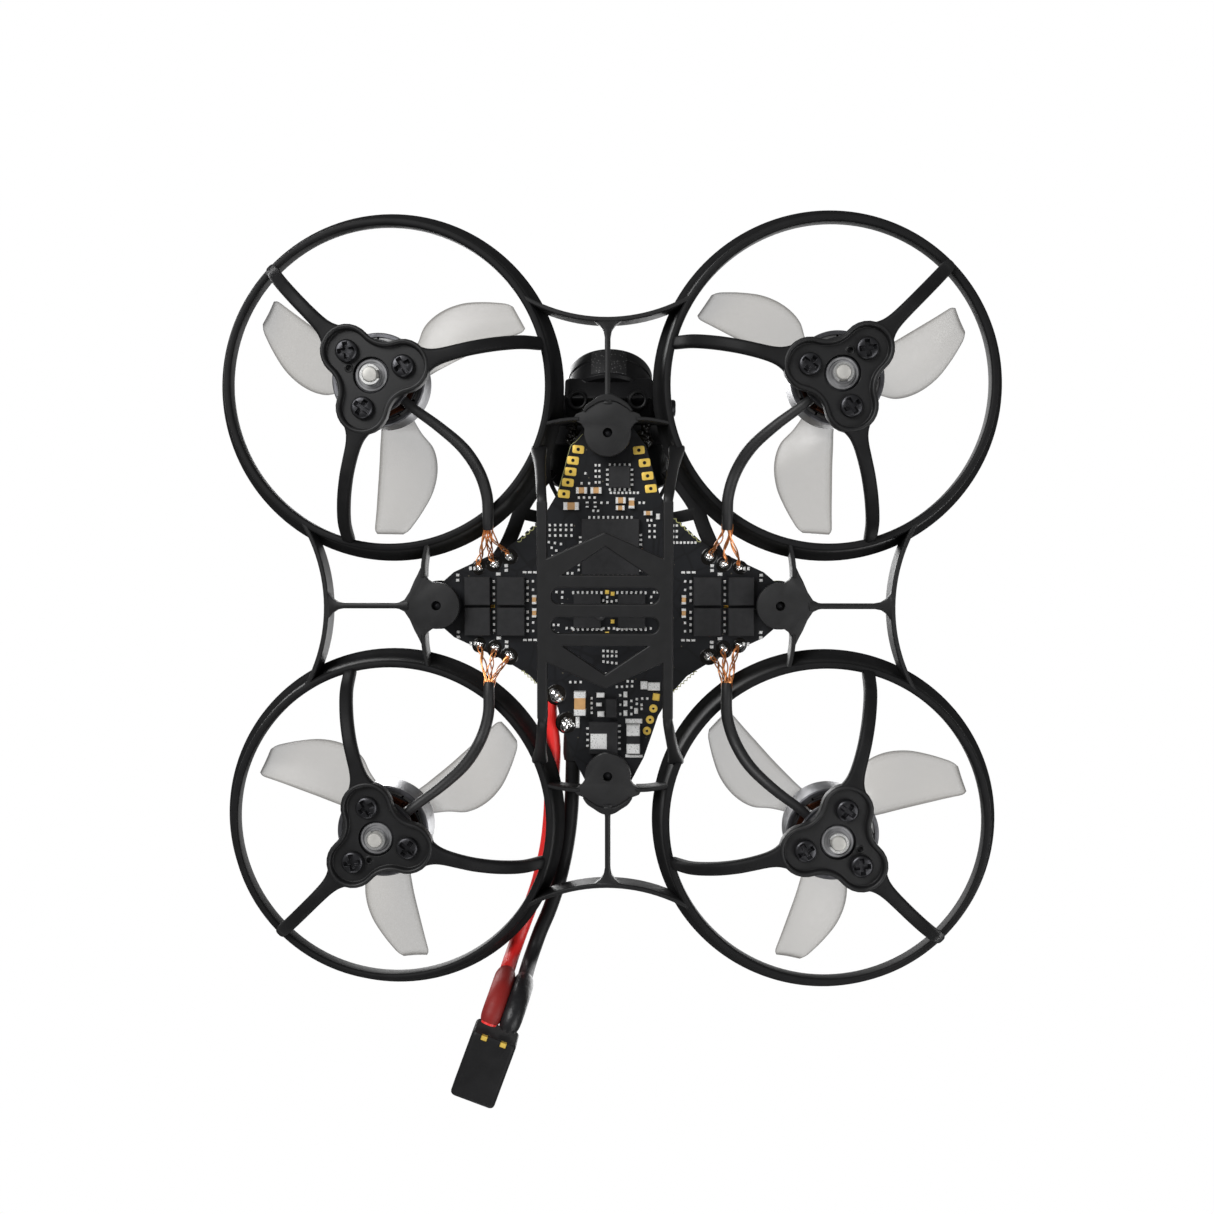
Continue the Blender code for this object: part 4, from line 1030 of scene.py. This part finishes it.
def row(x, y, dx, dy, count, wide=0.24, long=0.26):
    """A row of small soldered ends."""
    for index in range(count):
        turn = random.uniform(-6, 6)
        fit("solder", x + dx * index, y + dy * index, wide, long, random.uniform(0.1, 0.22), turn, 0.05)


def packaged(x, y, wide, long, high, counts=(), step=0.5):
    """A chip with rows of leads; counts is for its +X, +Y, -X and -Y sides in turn."""
    fit("chips", x, y, wide, long, high, 0, 0.07)
    for quarter, count in enumerate(counts):
        half = (count - 1) / 2 * step
        if quarter % 2:
            row(x - half, y + (2 - quarter) * (long / 2 + 0.14), step, 0, count, 0.22, 0.32)
        else:
            row(x + (1 - quarter) * (wide / 2 + 0.14), y - half, 0, step, count, 0.32, 0.22)


def board_plate(spots):
    """The bare board, with its edge shown in a colour of its own."""
    holes = [rod(1.55, *DRILL, 40, spot.x, spot.y) for spot in spots]
    holes += [rod(0.14, *DRILL, 16, x, y) for x, y in ANTENNA_ROW]
    notch = [(-7.4, 9.1), (-6.2, 9.5), (-5.65, 10.3), (-5.35, 11.2), (-5.15, 12.3), (-7.4, 12.6)]
    holes.append(prism(rounded_corners(notch, 0.25), *DRILL))
    bites = [
        rod(0.17, *DRILL, 12, (6.9 + 0.52 * share) * x_side, (9.5 - 0.5 * share) * y_side)
        for x_side, y_side in CORNERS.values() for share in range(5)
    ]
    plain = cut(prism(board_outline(), BOARD_BOTTOM, BOARD_TOP), holes)
    board = add(
        "board_laminate", [cut(plain, bites)], "mask", nodes=["flight_controller"],
        bevel=0.04,
    )
    board.data.materials.append(LOOKS["laminate"])
    for face in board.data.polygons:
        face.material_index = 1 if abs(face.normal.z) < 0.5 else 0


def quarter_parts(x_side, y_side):
    """What repeats round each motor's solder pads."""
    for x, wide in ((10.43, 2.93), (14, 2.75)):
        fit("chips", x * x_side, 1.62 * y_side, wide, 2.98, 0.85, 0, 0.06)
    for x in (12.3, 8.7):
        row(x * x_side, 0.62 * y_side, 0, 0.665 * y_side, 4, 0.26, 0.3)
    for x, y, size in MOTOR_PADS:
        turn, stretch = random.uniform(0, 180), random.uniform(1.05, 1.3)
        drip("beads", x * x_side, y * y_side, size * 0.92, 0.55, stretch, turn)
        drip("beads", (x - 0.2) * x_side, (y - 0.15) * y_side, size * 0.6, 0.6, 1.2, turn + 60)
        drip("flux", x * x_side, y * y_side, size * 1.6, 0.1, 1.15, turn)
    two_ended("capacitors", 7.96 * x_side, 0.71 * y_side, 0.46, 0.95, 0.4)
    for x, y, dx, dy, *rest in (
        (8.1, 1.75, 0, 0.9, 2), (9, 3.6, -0.56, 0, 3, 0.4, 0.24),
        (16.15, 2.75, 0, 0.55, 2, 0.36, 0.3), (10.95, 3.8, 0, 0.5, 2, 0.38, 0.32),
        (14.8, 4, -0.45, 0, 2, 0.26, 0.4), (11.8, 3.4, 0, 0.5, 1, 0.5, 0.34),
    ):
        row(x * x_side, y * y_side, dx * x_side, dy * y_side, *rest)
    fit("gold", 12.45 * x_side, 0.02, 0.5, 0.3, 0.12)
    start, end = ((9.75, 6.85), (6.7, 9.65)) if y_side < 0 else ((9.4, 6.95), (6.95, 9.2))
    points = []
    steps = 6 * SCALLOPS
    for step in range(steps + 1):
        spot = Vector(start).lerp(Vector(end), step / steps)
        spot -= Vector((0.68, 0.73)) * SCALLOP_DEPTH * abs(sin(pi * step / 6))
        points.append((spot.x * x_side, spot.y * y_side, UNDER - 0.02))
    ON_BOARD["edge"].append(tube(points, 0.05, 6))


def other_parts():
    """The parts that the board has only once."""
    pad = rounded_corners([(0.62, 0.43), (-0.62, 0.43), (-0.62, -0.43), (0.62, -0.43)], 0.22)
    pad = cut(rounded_prism(pad, UNDER - 0.09, UNDER + 0.1, 0.04), [rod(0.19, 11, 12, 16)])
    for x, y in (
        (-3.25, -16.57), (-3.82, -15.41), (-4.07, -14.24), (-4.36, -13.09), (-4.78, -11.89),
        (3.16, -16.47), (3.77, -15.15), (4.09, -13.77), (4.44, -12.44),
    ):
        ON_BOARD["gold"].append(placed(pad, at(x, y) @ about_z(6 if x < 0 else -6)))
    edge = refine([(-2.75, -18.2), (-3.5, -17.4), (-4.08, -16.85), (-4.7, -14.6), (-5.5, -11.8)], 4)
    ON_BOARD["edge"].append(tube([(x, y, UNDER) for x, y in edge], 0.04, 6))
    ring = turned_ring([(0.14, 11.42), (0.42, 11.42), (0.45, 11.46), (0.45, 11.52), (0.14, 11.52)], 24)
    ON_BOARD["gold"] += [placed(ring, at(x, y)) for x, y in ANTENNA_ROW[1:]]
    fit("gold", *ANTENNA_ROW[0], 0.75, 0.75, 0.1, 8, 0.06)
    for chip in (
        (1.14, -13.65, 2.28, 2.3, 0.8, (4, 5, 4, 5), 0.52),
        (0.17, -6.3, 6.1, 5.9, 0.75, (6, 10, 5, 10)),
        (-2.3, 0.5, 2.9, 3.6, 0.75, (0, 7, 0, 7)), (2.4, 0.5, 2.9, 3.6, 0.75, (0, 7, 0, 7)),
        (0.27, 10.8, 1.17, 2, 0.9), (-0.58, 14, 3.1, 3.45, 0.8, (5, 0, 4, 0), 0.62),
    ):
        packaged(*chip)
    ON_BOARD["solder"].append(block(-1.08, 14.35, 1.77, 1.68, UNDER - 0.86, UNDER - 0.5, 0, 0.07))
    fit("chips", 2.6, 14.15, 1.5, 3, 0.9)
    for part in (
        (2.66, 12.25, 1.8, 0.5, 0.2), (2.6, 13.15, 1.43, 1.15, 1), (2.6, 15.1, 1.43, 1.06, 1),
        (2.68, 16, 1.85, 0.34, 0.2), (3.75, 8.4, 0.75, 0.85, 0.3), (4.8, 8.5, 1.3, 0.85, 0.45),
        (-0.9, 9.46, 0.85, 0.5, 0.4), (-1.06, 10.47, 0.6, 0.36, 0.4), (-0.85, 11.5, 0.75, 0.58, 0.4),
    ):
        fit("solder", *part, 0, 0.07)
    two_ended("capacitors", -3.08, 10.3, 1.25, 2.5, 1)
    for x, y, wide, long, turn in (
        (-2.9, -12.25, 0.66, 1.15, 90), (-1.36, -12.25, 0.66, 1.15, 90), (-4, -10.6, 0.8, 1.6, 90),
        (1.25, -11.2, 0.65, 1.05, 90), (2.4, -10.9, 0.62, 1.1, 0), (1.2, -10.4, 0.5, 0.9, 90),
        (4.15, -9.85, 0.45, 0.9, 90), (-2.3, -10.75, 0.3, 0.6, 0), (-1.45, -10.75, 0.3, 0.6, 0),
    ):
        two_ended("capacitors" if wide > 0.4 else "chips", x, y, wide, long, 0.45, turn)
    for x, y, size in ((-5.65, 9.4, 0.62), (-4.5, 12.45, 0.66)):
        drip("flux", x, y, size * 1.75, 0.08)
        for _ in range(5):
            turn, away = random.uniform(0, 6.28), random.uniform(0.1, 0.45)
            drip(
                "beads", x + away * cos(turn), y + away * 1.3 * sin(turn),
                size * random.uniform(0.6, 1), random.uniform(0.4, 0.75), 1.25,
                random.uniform(0, 180), 14,
            )
    for start in (
        (-3.2, -11.5, 0.56, 0, 4), (0.2, -12, 0.41, 0, 8), (-1.4, -14.9, 0, 0.6, 4),
        (-1, -14.9, 0, 0.6, 4), (-2.5, -14.05, 0, 0, 1), (-2.9, -13, 0.8, 0, 2),
        (-0.8, -10.95, 0.65, 0, 2), (3.25, -10.95, 0.45, 0, 2), (-1.65, -10.1, 0.5, 0, 2),
        (4.1, -9.1, 0.4, 0, 2), (4.3, -8.55, 0, 0.6, 3), (4.85, -8.55, 0, 0.6, 3),
        (-6.3, -8.6, 0.58, 0, 5), (-6.3, -8.1, 0.58, 0, 5), (-6.3, -7.5, 0.58, 0, 5),
        (-6.4, -6.8, 0.65, 0.1, 3), (-6.1, -6.2, 0.5, 0.3, 2), (-6, -5.3, 0.4, 0, 2),
        (6.8, -8.55, 0, 0.6, 3), (7.2, -8.55, 0, 0.6, 3), (6.85, -6.75, 0.39, 0, 7),
        (-4.5, 2.34, 0.56, 0, 17), (-5.6, -1.5, 0.65, 0, 2), (-5, -0.94, 0, 0.75, 2),
        (-5.9, 2, 0.5, 0, 2), (-5.95, 2.65, 0.5, 0.25, 2), (4.5, -1, 0, 0.7, 2),
        (4.8, -1.5, 0.4, 0, 2), (-0.62, -0.64, 0, 0.5, 2), (-0.18, -0.96, 0, 0.48, 2),
        (0.3, -0.5, 0.5, -0.1, 2), (-0.59, 4.75, 0.46, 0.03, 4), (-0.59, 5.3, 0.46, 0, 4),
        (-0.59, 5.9, 0.46, 0.06, 4), (-1.3, 6.9, 1, 0.3, 2), (-3.2, -4.4, 0, 0.55, 2),
        (-4.9, -3.5, 0.5, 0, 3), (3.3, -3.85, 0.4, 0.1, 2), (-4.14, 8.1, 0.56, 0, 3),
        (-1.86, 9.83, 0, 0.52, 4), (1.2, 9.5, 0, 1, 3), (2.4, 10.1, 0, 0.7, 3),
        (2.98, 9.9, 0, 0.5, 2), (3.55, 9.83, 0.55, 0, 2), (3.5, 10.5, 0, 0.45, 2),
        (0.85, 8.6, 0.54, -0.03, 4), (2, 8, 0.5, 0, 2),
    ):
        row(*start)
    for place in (
        (1.76, 9.4), (1.76, 10.36), (1.76, 11.4), (-3.35, 12.1), (-3.35, 12.7), (2.9, 11.15),
        (5.2, -9.5),
    ):
        fit("solder", *place, 0.42, 0.6, 0.25)
    for place in ((-0.2, -1.51), (0.4, -1.33), (0.4, 1.62), (-0.2, 2.92)):
        fit("gold", *place, 0.42, 0.42, 0.1, 0, 0.05)
    for side in (-1, 1):
        for index in range(14):
            x, turn = 3.85 * side + random.uniform(-0.5, 0.5), random.uniform(0, 180)
            glue = dome(x, -19.3 + 0.17 * index, random.uniform(0.16, 0.34), 12.2, 0.3, 1.8, turn, 10)
            ON_BOARD["flux"].append(glue)
    top = scaled(1, 1, -1) @ at(0, 0, -23.8)
    for chip in ((4.8, -1, 4.2, 4.2, 10.8, UNDER), (-3.6, -3.4, 3, 3, 10.9, UNDER)):
        ON_BOARD["chips"].append(placed(block(*chip), top))


def make_board():
    spots = {side: about_z(turn) @ Vector((PAD_REACH, 0, 0)) for side, turn in SIDES.items()}
    board_plate(spots.values())
    for sides in CORNERS.values():
        quarter_parts(*sides)
    other_parts()
    settle = at(0.08, 0.14) @ scaled(1, 1.004, 1)
    for kind, look in BOARD_LOOKS.items():
        add(f"board_{kind}", moved(ON_BOARD[kind], settle), look)
    damper = turned_ring([
        (0.57, 10.25), (1.85, 10.25), (2.05, 10.35), (2.1, 10.6), (2, 10.85), (2.1, 11.1), (2.05, 11.4),
        (1.9, 11.45), (1.45, 11.45), (1.45, 12.35), (1.9, 12.35), (2.05, 12.4), (2.1, 12.65), (2, 12.8),
        (2.1, 13), (2, 13.25), (1.8, 13.3), (0.57, 13.3),
    ], 48)
    head = placed(screw_shape(1.5, 2.2), at(0, 0, 16.2) @ scaled(1, 1, -1))
    slim, under_head, shank_end = 0.6, 13.9, 13
    for vert in head.verts:
        if vert.co.z < under_head:
            vert.co = Vector((vert.co.x * slim, vert.co.y * slim, max(vert.co.z, shank_end)))
    shank = spindle([(0.3, 9.75), (0.45, 9.85), (0.45, 14.1)], 24)
    for side, spot in spots.items():
        move = Matrix.Translation(spot)
        add(
            f"grommet_{side}", [placed(damper, move)], "damper",
            nodes=[f"damper_{side}"],
        )
        add(
            f"stack_screw_{side}", [placed(head, move), placed(shank, move)], "screw",
            nodes=[f"board_screw_{side}"],
        )


# --- Camera, canopy and wiring ---

CAMERA_RIM = Vector((0, -25.4, 19))
CAMERA_FRAME = Matrix.Translation(CAMERA_RIM) @ Matrix.Rotation(pi / 2 - radians(30), 4, "X")
PIVOT_DEPTH = -4.65
PIVOT = CAMERA_FRAME @ Vector((0, 0, PIVOT_DEPTH))
ACROSS = Matrix.Rotation(pi / 2, 4, "Y")
CANOPY_WALL = 0.45
PIVOT_HEAD = 7.28
CANOPY_ARCHES = [
    (-24.6, 18.8, 28, 6.2, 6.8, 3.2), (-20.5, 17.6, 20, 6.6, 6.6, 4.5),
    (-15.5, 17, 8, 6.75, 6.1, 3.9), (-13.2, 16.7, 4, 6.6, 5.9, 3.6),
    (-11.4, 16.5, 1, 5.7, 5.7, 3.3), (-10.5, 16.4, 0, 5.5, 5.6, 3.2),
    (-4, 15.9, 0, 5, 4.6, 2.3), (3.5, 15.3, 0, 3.9, 3.3, 1.7),
    (10, 14.7, 0, 2.8, 2.1, 1.2), (16.6, 13.95, 0, 1.8, 0.85, 0.55),
]
SIDE_STRUT = [
    (6.3, -14.6, 14.4), (8.1, -12.5, 14.1), (9.5, -10.3, 13.9), (10.4, -7.9, 13.7), (11.7, -5.3, 13.55),
    (14.2, -2.4, 13.42), (16.4, -0.9, 13.38),
]
SIDE_BRANCH = [(5.1, -9, 14.3), (7, -9.3, 14.1), (9.4, -9.8, 13.9)]
MOTOR_LEAD_ROUTE = [
    (-20.9, -21.4, 4.2), (-19.4, -20.1, 4.25), (-16.8, -18.2, 4.9), (-14.6, -16.2, 6.3),
    (-13.2, -13.9, 7.7), (-12.45, -11.4, 8.1), (-12.4, -9, 8.3), (-12.4, -8, 8.5),
]


def make_camera_unit():
    barrel = turned_ring([
        (3.5, -2.7), (3.5, -0.55), (3.75, -0.2), (4, -0.05), (4.35, 0), (4.58, -0.1), (4.7, -0.35),
        (4.7, -1.3), (4.62, -1.38), (4.62, -1.6), (4.7, -1.68), (4.7, -3.6), (4.45, -3.9), (0.4, -3.9),
        (0.4, -2.7),
    ], 96)
    case = rounded_prism(rounded_box(4.75, 3.7, 0.5, 5), -6, -3.3, 0.2)
    across = at(0, 0, PIVOT_DEPTH) @ ACROSS
    case = cut(case, [placed(rod(0.7, 4.4 * side, 6.5 * side), across) for side in (-1, 1)])
    ears = [
        placed(spindle([(1.5, 4.5 * side), (1.5, 5.2 * side), (1.35, 5.3 * side)], 32), across)
        for side in (-1, 1)
    ]
    sensor = rounded_prism([(2.6, 2.6), (-2.6, 2.6), (-2.6, -2.6), (2.6, -2.6)], -6.35, -5.9, 0.1)
    shapes = moved([barrel, case, sensor] + ears, CAMERA_FRAME)
    eye = turned_ring([
        (0.66, 14.3), (0.66, 12.95), (0.72, 12.78), (0.86, 12.72), (1, 12.78), (1.1, 12.95),
        (1.14, 14.3),
    ], 40)
    for side in (-1, 1):
        place = (3.2 * side - 0.1, -21.85)
        shapes += [placed(eye, at(*place)), rod(0.67, 13.9, 14.3, 32, *place)]
    add("camera_housing", shapes, "camera", "camera", ["camera_body"])
    strip = turned_ring([(4.68, -0.35), (4.76, -0.42), (4.76, -3.3), (4.68, -3.4)], 14, -113.5, 47)
    add("camera_grip", [placed(strip, CAMERA_FRAME)], "speckle", "camera")
    glass = turned_ring([
        (0.02, -0.33), (0.7, -0.34), (1.3, -0.4), (1.9, -0.55), (2.3, -0.75), (2.35, -1.1),
        (2.35, -2.5), (0.02, -2.5),
    ], 64)
    add("lens_glass", [placed(glass, CAMERA_FRAME)], "glass", "camera", ["camera_lens"])
    notches = [placed(block(3.12, 0, 0.28, 0.14, -1, -1.4, 0, 0.02), about_z(15 * step))
               for step in range(24)]
    ring = turned_ring([
        (2.3, -1.2), (2.38, -0.62), (2.5, -0.55), (2.6, -0.62), (2.66, -0.95), (2.9, -1), (3, -1.15),
        (3.25, -1.2), (3.38, -1.35), (3.4, -2.6), (2.3, -2.6),
    ], 64)
    add("lens_barrel", moved([ring] + notches, CAMERA_FRAME), "camera", "camera")
    screw = placed(screw_shape(0, 0.6), scaled(0.86, 0.86, 1))
    for vert in screw.verts:
        if vert.co.z > 0.61:
            vert.co = Vector((vert.co.x * 0.8, vert.co.y * 0.8, 2.55))
    for name, side in (("left", 1), ("right", -1)):
        turn = Matrix.Translation(PIVOT) @ Matrix.Rotation(radians(90 * side), 4, "Y")
        turn = turn @ at(0, 0, PIVOT_HEAD) @ scaled(1, 1, -1)
        add(
            f"pivot_screw_{name}", [placed(screw, turn)], "screw",
            nodes=[f"camera_screw_{name}"],
        )


def arch_loop(y, z, lean, half_width, height, depth, inset, steps=28):
    """Points up and over one arch of the canopy, foot to foot, moved in by inset."""
    up = Vector((0, sin(radians(lean)), cos(radians(lean))))
    centre = Vector((0, y, z))
    half_width, height = half_width - inset, height - inset
    turns = [pi * index / steps for index in range(steps + 1)]
    curve = [(half_width, -depth * (1 - index / 4)) for index in range(4)]
    curve += [(half_width * cos(turn), height * sin(turn)) for turn in turns]
    curve += [(-half_width, -depth * (index / 4)) for index in range(1, 5)]
    return [centre + Vector((across, 0, 0)) + up * rise for across, rise in curve]


def rounded_corners(outline, radius, steps=5):
    """A plan outline with each corner replaced by a curve."""
    made = []
    for index, here in enumerate(outline):
        here = Vector(here)
        before, after = Vector(outline[index - 1]), Vector(outline[(index + 1) % len(outline)])
        start = here + (before - here).normalized() * radius
        end = here + (after - here).normalized() * radius
        for step in range(steps + 1):
            t = step / steps
            made.append(tuple(start * (1 - t) ** 2 + here * 2 * t * (1 - t) + end * t * t))
    return made


def make_canopy():
    shell = loft([
        arch_loop(*arch, 0) + arch_loop(*arch, CANOPY_WALL)[::-1] for arch in refine(CANOPY_ARCHES, 5)
    ])
    tools = []
    for outline in (
        [(-13.6, 15.6), (-6.8, 15.4), (-5.6, 17.2), (-8.8, 19.6), (-12.8, 20.2)],
        [(-3.6, 15), (4.6, 14.7), (4.2, 16.4), (-1.4, 18.4), (-3.6, 17.8)],
    ):
        outline = rounded_corners(outline, 0.7)
        tools.append(loft([[(x, y, z) for y, z in outline] for x in (-8.5, 8.5)]))
    tools.append(placed(rod(0.6, -8, 8), Matrix.Translation(PIVOT) @ ACROSS))
    for y in (-15.6, -17.1, -18.6):
        vent = [(2.6, y), (2.6, y + 0.7), (-2.6, y + 0.7), (-2.6, y)]
        tools.append(prism(rounded_corners(vent, 0.3), 20, 26))
    parts = [cut(shell, tools), tube(arch_loop(*CANOPY_ARCHES[0], 0.22), 0.22, 12)]
    for side in (-1, 1):
        for line, wide, thick in ((SIDE_STRUT, 1.65, 0.55), (SIDE_BRANCH, 1.3, 0.5)):
            path = [Vector((x * side, y, z)) for x, y, z in refine(line, 4)]
            along = path[-1] - path[0]
            flat = Vector((-along.y, along.x, 0)).normalized()
            parts.append(soft_bar(path, flat, [wide] * len(path), thick, 0.2, 4))
    tabs = []
    for half_width, rear, front in ((6.4, -17.2, -19.2), (1.6, 17.6, 14.9)):
        tabs.append(prism(rect(-half_width, front, half_width, rear), 13.37, 13.93))
    ring = [(0.6, 13.35), (1.8, 13.35), (1.9, 13.45), (1.9, 13.85), (1.8, 13.95), (0.6, 13.95)]
    ring = turned_ring(ring, 40)
    for turn in SIDES.values():
        tabs.append(placed(ring, Matrix.Translation(about_z(turn) @ Vector((PAD_REACH, 0, 0)))))
    add("canopy_shell", parts, "canopy", nodes=["canopy"], sharp=30)
    add("canopy_tabs", tabs, "canopy", sharp=30)


def make_wiring():
    """Motor leads with their bare ends, the camera's cable and the antenna."""
    for corner, (x_side, y_side) in CORNERS.items():
        points = refine([scaled(-x_side, -y_side, 1) @ Vector(point) for point in MOTOR_LEAD_ROUTE], 5)
        shares = [index / (len(points) - 1) for index in range(len(points))]
        radii = [0.42 + 0.2 * min(1, 2.2 * share) - 0.1 * share ** 6 for share in shares]
        add(
            f"lead_sleeve_{corner}", [tube(points, radii, 20)], "sleeve",
            nodes=[f"motor_lead_{corner}"],
        )
        strands = []
        end, heading = Vector(points[-1]), (Vector(points[-1]) - Vector(points[-3])).normalized()
        for (x, y, _), offset in zip(MOTOR_PADS, (0.3, 0, -0.3)):
            goal = Vector((x * x_side, y * y_side, 11.25))
            start = end - heading * 1.2 + Vector((offset * x_side, 0, 0))
            middle = start + heading * random.uniform(1.8, 2.6)
            middle += Vector((offset * 0.8 * x_side, 0, 0.5))
            near = goal.lerp(middle, 0.28) + Vector((random.uniform(-0.25, 0.25), 0, 0.2))
            for twist in range(4):
                line = refine([start, middle, near, goal], 8)
                wound = []
                phase = random.uniform(0, 6.28)
                for index, point in enumerate(line):
                    turn = phase + 2 * pi * (twist / 4 + index / 15)
                    spread = 0.1 + 0.17 * sin(pi * index / len(line))
                    wound.append(Vector(point) + Vector((cos(turn), 0, sin(turn))) * spread)
                strands.append(tube(wound, 0.075, 7))
        add(f"lead_strands_{corner}", strands, "strand")
    line = ((-17.4, 17.85), (-16.2, 17.7), (-14.9, 16.4), (-14.3, 14.6), (-14.1, 12.8))
    cable = [Vector(point) for point in refine([(0, y, z) for y, z in line], 6)]
    ribbon = soft_bar(cable, X_AXIS, [2.4] * len(cable), 0.5, 0.1, 2)
    add("ribbon_cable", [ribbon], "ribbon", nodes=["camera_cable"])
    base = at(5, 8.3)
    wire = spindle([
        (0.3, 12.4), (0.3, 16.4), (0.22, 16.6), (0.22, 23.4), (0.3, 23.6), (0.3, 25.85), (0.2, 26),
    ], 20)
    band = turned_ring([(0.2, 12.35), (0.42, 12.4), (0.44, 13.6), (0.4, 14.6), (0.2, 14.7)], 20)
    add("antenna_wire", [placed(wire, base)], "black", nodes=["video_antenna"])
    add("antenna_sleeve", [placed(band, base)], "shrink")


make_camera()
make_leads()
make_world()
make_floor()
make_lights()
make_frame()
make_motors()
make_board()
make_camera_unit()
make_canopy()
make_wiring()
